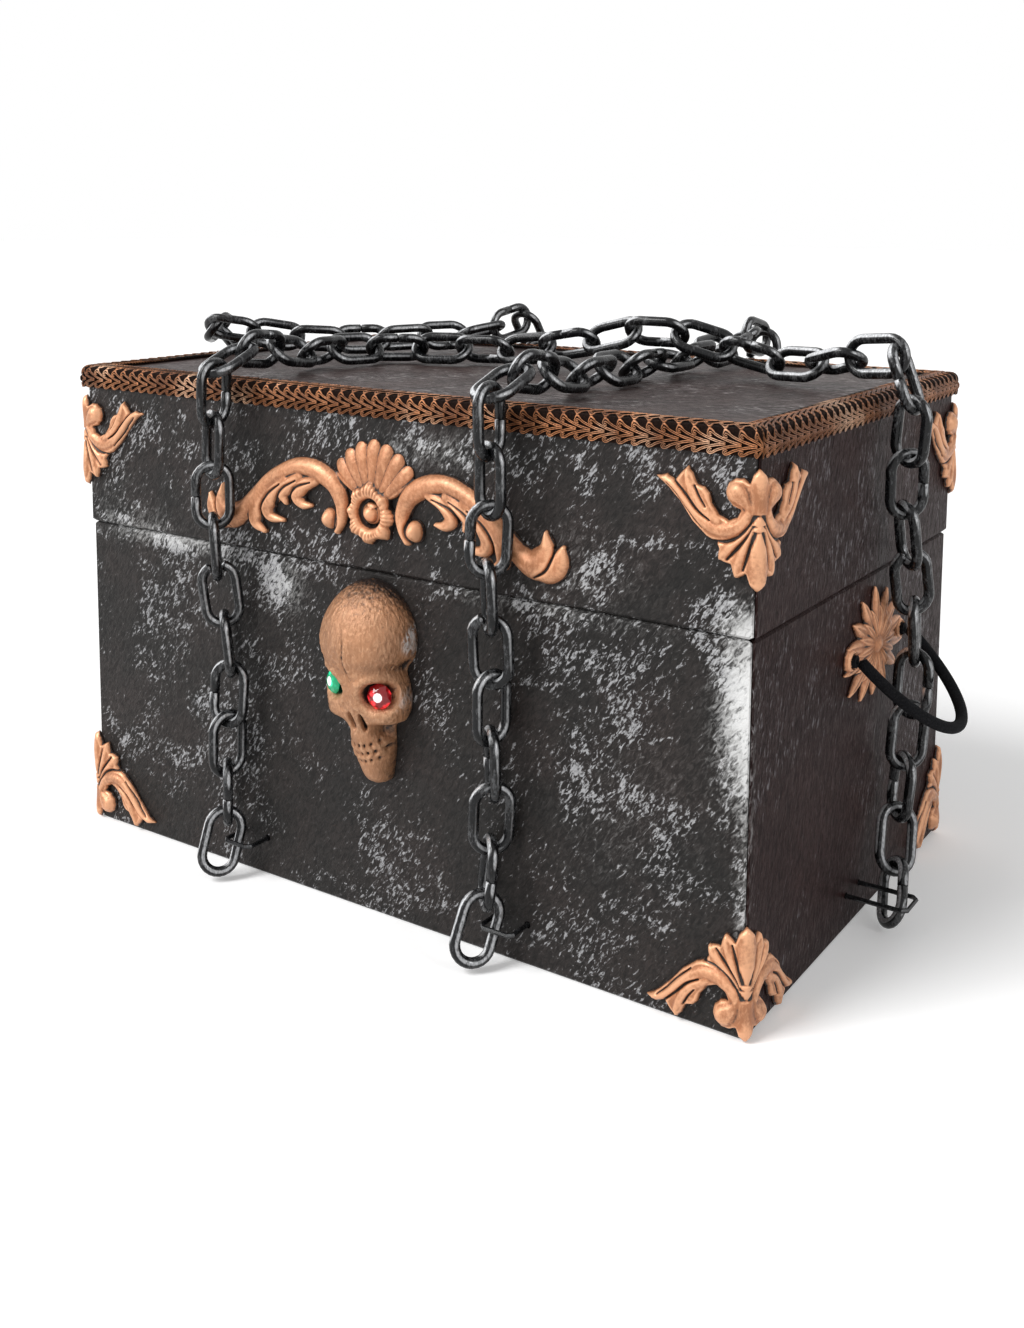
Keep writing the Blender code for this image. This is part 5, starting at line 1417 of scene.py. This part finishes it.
# Rubs of bare metal: place along the front and height, half width and half height, and strength
SKULL_RUBS = ((28.9, 152.0, 0.8, 9.0, 0.9), (25.8, 120.0, 1.2, 4.0, 0.4))
SKULL_FACE_Y = -BASE_DEPTH / 2 - GAP


def bell(value, width=1.0):
    """A soft bump of a share."""
    return np.exp(-(value / width) ** 2)


def carve_sockets(lift, x, z, depth, front):
    """Sinks the eye sockets under their brows, and shapes the cheeks and temples."""
    facing = np.clip((depth - 7.5) / 5.0, 0, 1)
    for eye_x, eye_z in SKULL_EYES:
        outer = 1 if eye_x > SKULL_MIDDLE else -1
        over = (x - eye_x) / SKULL_EYE_HALF[0]
        up = (z - eye_z - 0.06 * outer * (x - eye_x)) / SKULL_EYE_HALF[1]
        reach = np.hypot(over, up)
        lift -= SOCKET_DEPTH / (1 + np.exp((reach - 0.93) * 13)) * facing
        lift += 1.2 * bell(reach - 1.38, 0.28) * np.clip(up + 0.15, 0, 1)
        lift += 0.6 * bell(reach - 1.3, 0.25) * np.clip(-up, 0, 1)
        cheek_x = eye_x + outer * 1.5
        lift += 2.4 * bell(np.hypot((x - cheek_x) / 7.0, (z - CHEEK_HEIGHT) / 4.4))
        under = np.hypot((x - cheek_x + outer * 2.8) / 4.6, (z - CHEEK_HOLLOW_HEIGHT) / 4.0)
        lift -= 3.8 * bell(under) * front
        lift -= 1.9 * bell(np.hypot((x - SKULL_MIDDLE - outer * 24.0) / 7.0, (z - TEMPLE_HEIGHT) / 5.5))


def carve_nose(lift, x, z):
    """Raises the bridge of the nose and cuts its two slanting holes."""
    bridge = np.clip((128 - z) / 10, 0, 1)
    lift += 1.1 * bell((x - SKULL_NOSE[0]) / 3.6) * bridge * np.clip((z - 104) / 6, 0, 1)
    for side in (-1, 1):
        slant = SKULL_NOSE[0] + side * 3.3 + 0.10 * (SKULL_NOSE[1] - z)
        slot = np.hypot((x - slant) / (1.8 - 0.4 * side), (z - SKULL_NOSE[1]) / 4.4)
        lift -= NOSTRIL_DEPTH / (1 + np.exp((slot - 1.0) * 9))


def carve_teeth(lift, x, z, front):
    """Swells the jaw and cuts it into rows of teeth."""
    lift += 0.9 * bell((z - 93.0) / 5.5) * front
    across = x - TEETH_MIDDLE
    for row_z, depth, phase in TOOTH_ROWS:
        wave = 0.5 + 0.5 * np.cos(2 * math.pi * (across + phase) / TOOTH_WIDTH)
        lift -= depth * bell((z - row_z - 0.03 * across ** 2) / 0.95) * (0.25 + 0.95 * wave ** 3) * front
    place = (x - 5.0 + 0.4 * np.sin(z)) / 3.0
    seams = 1 - np.abs(2 * (place - np.floor(place)) - 1)
    lift -= 0.5 * bell((seams - 1.0) / 0.28) * bell((z - 93.5) / 4.2) * front


def carve_crease(lift, x, z):
    """Cuts a winding crease up the forehead, with a low ridge beside it."""
    above = z - CREASE_FOOT
    crease = x - (4.4 - 0.16 * above - 0.9 * np.sin(above / 3.4))
    start, end = np.clip((z - 131.0) / 4, 0, 1), np.clip((158.0 - z) / 8, 0, 1)
    lift -= 0.9 * bell(crease / 0.7) * start * end
    lift += 0.5 * bell((crease - 2.4) / 1.8) * start * end


def skull_grain(points):
    """Uneven leather-like grain on each point."""
    grain = np.zeros(points.shape[:2])
    for index in np.ndindex(grain.shape):
        place = Vector(points[index])
        grain[index] = 0.30 * mathutils_noise.noise(place * 0.5) + 0.30 * mathutils_noise.noise(place * 1.1)
    return grain


def skull_shape():
    """Points of the skull's grid, how far each is above or below the ground form, and how far out."""
    rows = smooth_rows(SKULL_LEVELS, SKULL_LEVEL_STEPS)
    angle = np.linspace(0, math.pi, SKULL_ROUND_STEPS + 1)
    cosine, sine = np.cos(angle), np.sin(angle)
    round_x = np.sign(cosine) * np.abs(cosine) ** SKULL_SQUARENESS
    z = np.repeat(rows[:, 0:1], len(angle), axis=1)
    x = rows[:, 1:2] + np.maximum(rows[:, 2:3], SKULL_LEAST) * round_x
    depth = np.maximum(rows[:, 3:4], SKULL_LEAST) * sine ** SKULL_SQUARENESS
    front = np.clip(depth / 6.0, 0, 1)
    lift = np.zeros(x.shape)
    carve_sockets(lift, x, z, depth, front)
    carve_nose(lift, x, z)
    carve_teeth(lift, x, z, front)
    carve_crease(lift, x, z)
    points = np.stack((x, -depth, z), axis=2)
    normal = np.cross(np.gradient(points, axis=1), np.gradient(points, axis=0))
    normal /= np.maximum(np.linalg.norm(normal, axis=2, keepdims=True), LEAST_NORMAL)
    if normal[len(rows) // 2, SKULL_ROUND_STEPS // 2, 1] > 0:
        normal = -normal
    dome = np.clip((z - 104) / 10, 0.35, 1)
    lift = lift + skull_grain(points) * dome
    lift = lift * np.clip(depth / 2.5, 0, 1)
    points = points + normal * lift[:, :, None]
    points[:, :, 1] = np.minimum(points[:, :, 1], 0)
    return points, lift, depth


def closed_grid(points):
    """Points and faces of a grid of levels, closed over its back, foot and head."""
    levels, steps = points.shape[:2]
    flat = points.reshape(-1, 3).tolist()
    faces = []
    for low in range(0, (levels - 1) * steps, steps):
        for first in range(low, low + steps - 1):
            faces.append((first, first + steps, first + steps + 1, first + 1))
    foot = list(range(steps))
    head = list(range((levels - 1) * steps, levels * steps))
    for rim in (foot, head[::-1]):
        centre = len(flat)
        flat.append(np.mean([flat[corner] for corner in rim], axis=0).tolist())
        faces.extend((a, b, centre) for a, b in zip(rim, rim[1:]))
        faces.append((rim[-1], rim[0], centre))
    for low in range(0, (levels - 1) * steps, steps):
        high = low + steps
        faces.append((low + steps - 1, high + steps - 1, high, low))
    return flat, faces


def skull_mesh():
    """The skull: a closed relief with a flat back, its hollows and rubs stored on its points."""
    points, lift, depth = skull_shape()
    world = points * MM
    world[:, :, 1] += SKULL_FACE_Y
    flat, faces = closed_grid(world)
    mesh = mesh_of("skull_relief", flat, faces)
    work = bmesh.new()
    work.from_mesh(mesh)
    bmesh.ops.recalc_face_normals(work, faces=work.faces)
    work.to_mesh(mesh)
    work.free()
    x, z = points[:, :, 0], points[:, :, 2]
    hollow = 0.50 + np.minimum((lift - blurred(lift, 26)) * 0.36, 0.14)
    # More dark wash and painted shade round the rim, where the skull meets the wall
    hollow -= np.clip(1 - depth / 9.0, 0, 1) * 0.26
    # Darker towards the top of the head
    hollow -= 0.26 * np.clip((z - 160) / 16, 0, 1)
    rub = np.zeros(x.shape)
    for rub_x, rub_z, half_width, half_height, strength in SKULL_RUBS:
        rub = np.maximum(rub, strength * bell(np.hypot((x - rub_x) / half_width, (z - rub_z) / half_height)))
    for name, field, rest in (("cavity", hollow, 0.4), ("silver", rub, 0.0)):
        values = np.full(len(flat), rest)
        values[:field.size] = field.reshape(-1)
        store_values(mesh, name, values)
    return mesh


skull = add_piece("skull_relief", skull_mesh(), "base", bone_copper)
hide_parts("skull")


# Gems in the sockets: rings of radius, height and corner turn, in millimetres

GEM_RINGS = (
    (1.2, -2.4, 0.0), (6.2, 0.0, 0.0), (6.6, 0.7, 0.5), (5.2, 2.3, 0.0), (3.4, 3.2, 0.5), (1.5, 3.4, 0.5),
)
GEM_CORNERS = 9


def gem_ring_faces(low, high, shift):
    """Facets between two rings of corners; the upper one may be turned by half a corner either way."""
    faces = []
    for corner in range(GEM_CORNERS):
        beside = (corner + 1) % GEM_CORNERS
        a, b, c, d = low + corner, low + beside, high + corner, high + beside
        if shift > 0:
            faces += [(a, b, c), (b, d, c)]
        elif shift < 0:
            faces += [(a, d, c), (a, b, d)]
        else:
            faces.append((a, b, d, c))
    return faces


def add_gem(name, cad_name, material, centre, gaze):
    """A faceted stone that looks out of a socket."""
    points = []
    for radius, height, turn in GEM_RINGS:
        for corner in range(GEM_CORNERS):
            angle = 2 * math.pi * (corner + turn) / GEM_CORNERS
            points.append((radius * math.cos(angle), radius * math.sin(angle), height))
    faces = []
    for ring, (lower, upper) in enumerate(zip(GEM_RINGS, GEM_RINGS[1:])):
        faces += gem_ring_faces(ring * GEM_CORNERS, (ring + 1) * GEM_CORNERS, upper[2] - lower[2])
    faces.append(tuple(range(GEM_CORNERS))[::-1])
    top = (len(GEM_RINGS) - 1) * GEM_CORNERS
    faces.append(tuple(range(top, top + GEM_CORNERS)))
    turn = Vector(gaze).to_track_quat("Z", "Y").to_matrix()
    mesh = mesh_of(name, [turn @ (Vector(point) * MM) + Vector(centre) for point in points], faces)
    # The top facets carry the painted glint
    store_values(mesh, "painted_glint", [0.0] * top + [1.0] * GEM_CORNERS)
    gem = add_piece(name, mesh, "base", material, smooth=False)
    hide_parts(cad_name)


add_gem(
    "red_stone", "gem_red", red_glass,
    centre=(0.0170, SKULL_FACE_Y - 0.0142, 0.1226), gaze=(0.30, -0.9, 0.08),
)
add_gem(
    "green_stone", "gem_green", green_glass,
    centre=(-0.0112, SKULL_FACE_Y - 0.0150, 0.1256), gaze=(-0.42, -0.9, 0.08),
)


# Braid: places along a side, across the band (above zero over the top, below zero down the face) and
# height, in millimetres

BRAID_PITCH = 7.3
BRAID_BACKING = 0.9
BRAID_EDGE_RADIUS = 1.2
BRAID_ROWS = (-5.3, 5.0)
BRAID_ARM = (
    (14.8, 0.15, 2.3), (12.0, 0.6, 2.2), (9.0, 1.3, 1.9), (6.2, 2.2, 1.6), (3.8, 3.2, 1.4), (2.0, 4.3, 1.4),
    (0.4, 4.6, 1.5), (-0.4, 3.7, 1.7), (0.3, 2.9, 1.8), (1.3, 3.2, 1.8),
)
BRAID_ARM_STEPS = 2
BRAID_CORD_RADIUS = 0.30
BRAID_CORD_SPREAD = 0.36
BRAID_CORD_SIDES = 6
BRAID_CELL_SHIFT = 0.4
BRAID_OVERRUN = 3.0
BRAID_LOW = -10.5
BRAID_HIGH = 10.5
BORDER_PLACE = (10.0, 1.35)
BORDER_CORD_RADIUS = 0.42
BORDER_PLY_RADIUS = 0.35
BORDER_STEP = 0.8
BORDER_HALF_TURN_STEPS = 3
CORD_END_TOP = 0.3
UPWARD = Vector((0, 0, 1))


def cords(lines, radius):
    """Cords along some lines: points, faces, and how far each point faces up, from 0 to 1."""
    shapes = [tube(line, radius, BRAID_CORD_SIDES, start_side=UPWARD) for line in lines]
    ring = [max(math.cos(2 * math.pi * step / BRAID_CORD_SIDES), 0.0) for step in range(BRAID_CORD_SIDES)]
    tops = []
    for line in lines:
        tops.extend(ring * len(line) + [CORD_END_TOP] * 2)
    points, faces = gather(shapes)
    return np.array([tuple(point) for point in points]), faces, tops


def beside_line(route, shift):
    """A line moved sideways in the band's plane."""
    line = []
    for index, point in enumerate(route):
        along = (route[min(index + 1, len(route) - 1)] - route[max(index - 1, 0)]).normalized()
        line.append(point + Vector((-along.y, along.x, 0)).normalized() * shift * BRAID_CORD_SPREAD)
    return line


def braid_cell():
    """One pair of arms of each row, as cords in the band's own flat space."""
    lines = []
    for middle in BRAID_ROWS:
        for side in (-1, 1):
            arm = [Vector((t, middle + side * w, h)) for t, w, h in BRAID_ARM]
            route = smooth_route(arm, BRAID_ARM_STEPS)
            lines.extend(beside_line(route, shift) for shift in (-1, 1))
    return cords(lines, BRAID_CORD_RADIUS)


def border_cell(length, steps):
    """A two-ply cord along the band's inner edge."""
    lines = []
    for ply in (0, 1):
        line = []
        for step in range(steps + 1):
            angle = step * math.pi / BORDER_HALF_TURN_STEPS + ply * math.pi
            line.append(Vector((
                length * step / steps, BORDER_PLACE[0] + BORDER_PLY_RADIUS * math.cos(angle),
                BORDER_PLACE[1] + BORDER_PLY_RADIUS * math.sin(angle),
            )))
        lines.append(line)
    return cords(lines, BORDER_CORD_RADIUS)


def braid_place(points, length, out):
    """Bends flat braid points over the edge of one side, mitred at both ends."""
    t, w, h = points[:, 0], points[:, 1], points[:, 2]
    arc = BRAID_EDGE_RADIUS * math.pi / 4
    turn = np.clip(w / arc, -1, 1) * math.pi / 4 + math.pi / 4
    reach = BRAID_EDGE_RADIUS + GAP / MM + h
    inward = np.maximum(w - arc, 0)
    down = np.maximum(-w - arc, 0)
    across = out / MM - BRAID_EDGE_RADIUS + np.cos(turn) * reach - inward
    level = CHEST_HEIGHT / MM - BRAID_EDGE_RADIUS + np.sin(turn) * reach - down
    stretch = (length / 2 / MM + across - out / MM) / (length / 2 / MM)
    return np.stack(((t - length / 2 / MM) * stretch, -across, level), axis=1) * MM


def gathered_ends(places, length):
    """Draws in what would run past either end of a side."""
    past = np.maximum(places - (length - BRAID_OVERRUN), 0)
    short = np.maximum(BRAID_OVERRUN - places, 0)
    drawn = BRAID_OVERRUN * np.tanh(past / BRAID_OVERRUN / 2) - past
    return places + drawn - BRAID_OVERRUN * np.tanh(short / BRAID_OVERRUN / 2) + short


def turned(points, quarter):
    """Points turned about Z by quarters."""
    for step in range(quarter):
        points = np.stack((-points[:, 1], points[:, 0], points[:, 2]), axis=1)
    return points


def add_braid():
    """Cords laid in curling chevrons over a dark band, all round the lid's top edge."""
    cell_points, cell_faces, cell_tops = braid_cell()
    shapes = []
    tops = []
    for quarter in range(4):
        length, out = ((CHEST_WIDTH, CHEST_DEPTH / 2), (CHEST_DEPTH, CHEST_WIDTH / 2))[quarter % 2]
        count = round(length / MM / BRAID_PITCH)
        pitch = length / MM / count
        for cell in range(-1, count + 1):
            placed = cell_points.copy()
            start = (cell - BRAID_CELL_SHIFT) * pitch
            placed[:, 0] = gathered_ends(placed[:, 0] * pitch / BRAID_PITCH + start, length / MM)
            shapes.append((turned(braid_place(placed, length, out), quarter).tolist(), cell_faces))
            tops.extend(cell_tops)
        border_points, border_faces, border_tops = border_cell(length / MM, round(length / MM / BORDER_STEP))
        shapes.append((turned(braid_place(border_points, length, out), quarter).tolist(), border_faces))
        tops.extend(border_tops)
    points, faces = gather(shapes)
    mesh = mesh_of("braid_cords", points, faces)
    # How far each point faces up, for the cords' painted shade
    store_values(mesh, "cord_top", tops)
    braid = add_piece("braid_cords", mesh, "lid", braid_finish)
    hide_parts("braid_trim")


def add_braid_band():
    """The dark band under the cords."""
    top = CHEST_HEIGHT + GAP
    thick = BRAID_BACKING * MM
    section = (
        (GAP, CHEST_HEIGHT + BRAID_LOW * MM), (GAP + thick, CHEST_HEIGHT + BRAID_LOW * MM),
        (GAP + thick, top + thick / 2), (GAP + thick / 2, top + thick), (-BRAID_HIGH * MM, top + thick),
        (-BRAID_HIGH * MM, top), (GAP, top),
    )
    half_width, half_depth = CHEST_WIDTH / 2, CHEST_DEPTH / 2
    points = []
    for sign_x, sign_y in ((-1, -1), (1, -1), (1, 1), (-1, 1)):
        points.extend((sign_x * (half_width + out), sign_y * (half_depth + out), z) for out, z in section)
    count = len(section)
    faces = []
    for corner in range(4):
        here = corner * count
        following = (corner + 1) % 4 * count
        for step in range(count):
            beside = (step + 1) % count
            faces.append((here + step, following + step, following + beside, here + beside))
    mesh = mesh_of("braid_band", points, faces)
    band = add_piece("braid_band", mesh, "lid", braid_ground, smooth=False)
    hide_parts("braid_trim")


add_braid()
add_braid_band()


# Finishes of the frame's own pieces

WALL_FINISHES = {
    "base_front": front_paint, "base_right": side_paint, "base_left": side_paint, "base_back": side_paint,
    "base_bottom": side_paint, "lid_front": lid_front_paint, "lid_top": top_paint, "lid_right": side_paint,
    "lid_left": side_paint, "lid_back": side_paint,
}


def finish_node(name, material, smooth=False):
    """Gives a piece of the frame its finish."""
    item = nodes[name]
    item.data.materials.clear()
    item.data.materials.append(material)
    if smooth:
        item.data.shade_smooth()


for node_name in nodes:
    if node_name in WALL_FINISHES:
        finish_node(node_name, WALL_FINISHES[node_name])
    elif node_name.startswith("staple_"):
        finish_node(node_name, staple_finish, smooth=True)
    elif node_name.startswith("hinge_"):
        finish_node(node_name, hinge_finish)
    elif node_name.startswith("rope_knot"):
        finish_node(node_name, rope_finish, smooth=True)


# Stage and light

FLOOR_REACH = 14.0
FLOOR_TONE = 0.90
FLOOR_GLOW = 0.22
WORLD_LIGHT = 0.46
WORLD_SEEN = 1.0


def seen_rays(tree):
    """One for the rays that look at the background, straight, in a shine or through glass."""
    path = put(tree, "ShaderNodeLightPath").outputs
    both = calc(tree, "MAXIMUM", path["Is Camera Ray"], path["Is Glossy Ray"])
    return calc(tree, "MAXIMUM", both, path["Is Transmission Ray"])


def add_stage():
    """A plain white floor that keeps the chest's shadow."""
    points = [(x, y, 0.0) for x, y in ((-1, -1), (1, -1), (1, 1), (-1, 1))]
    floor = bpy.data.objects.new("floor", mesh_of("floor", points, [(0, 1, 2, 3)]))
    floor.scale = (FLOOR_REACH, FLOOR_REACH, 1)
    material, tree, shader = new_material("white_floor")
    glow = calc(tree, "MULTIPLY", seen_rays(tree), FLOOR_GLOW)
    feed(tree, shader, {
        "Base Color": (FLOOR_TONE, FLOOR_TONE, FLOOR_TONE, 1.0), "Roughness": 0.95,
        "Emission Color": (1, 1, 1, 1), "Emission Strength": glow,
    })
    floor.data.materials.append(material)
    bpy.context.scene.collection.objects.link(floor)


def add_light(name, kind, way, power, place=(0, 0, 0), **settings):
    """A light of a kind and power that shines along a way."""
    data = bpy.data.lights.new(name, kind)
    data.energy = power
    for key, value in settings.items():
        setattr(data, key, value)
    lamp = bpy.data.objects.new(name, data)
    lamp.location = place
    lamp.rotation_euler = Vector(way).to_track_quat("-Z", "Y").to_euler()
    bpy.context.scene.collection.objects.link(lamp)


def add_lamp(name, place, size, power):
    """A square soft light that faces the middle of the chest."""
    way = Vector((0, 0, CHEST_HEIGHT / 2)) - Vector(place)
    add_light(name, "AREA", way, power, place, size=size)


def add_sun(place, strength, spread):
    """A wide distant light that shines from the direction of a place."""
    add_light("sun", "SUN", -Vector(place), strength, angle=math.radians(spread))


def add_world():
    """Plain pale light from all round, and white where it is looked at."""
    world = bpy.data.worlds.new("studio")
    world.use_nodes = True
    tree = world.node_tree
    strength = ramp(tree, seen_rays(tree), 0.0, 1.0, WORLD_LIGHT, WORLD_SEEN)
    feed(tree, tree.nodes["Background"], {"Color": (1, 1, 1, 1), "Strength": strength})
    bpy.context.scene.world = world


add_stage()
add_sun((-0.55, -1.0, 1.25), strength=2.1, spread=24)
add_lamp("key", (-0.75, -1.3, 0.75), size=0.35, power=5)
add_lamp("rim", (1.5, -0.5, 0.9), size=0.3, power=3)
add_world()
bpy.context.scene.view_settings.view_transform = "Standard"
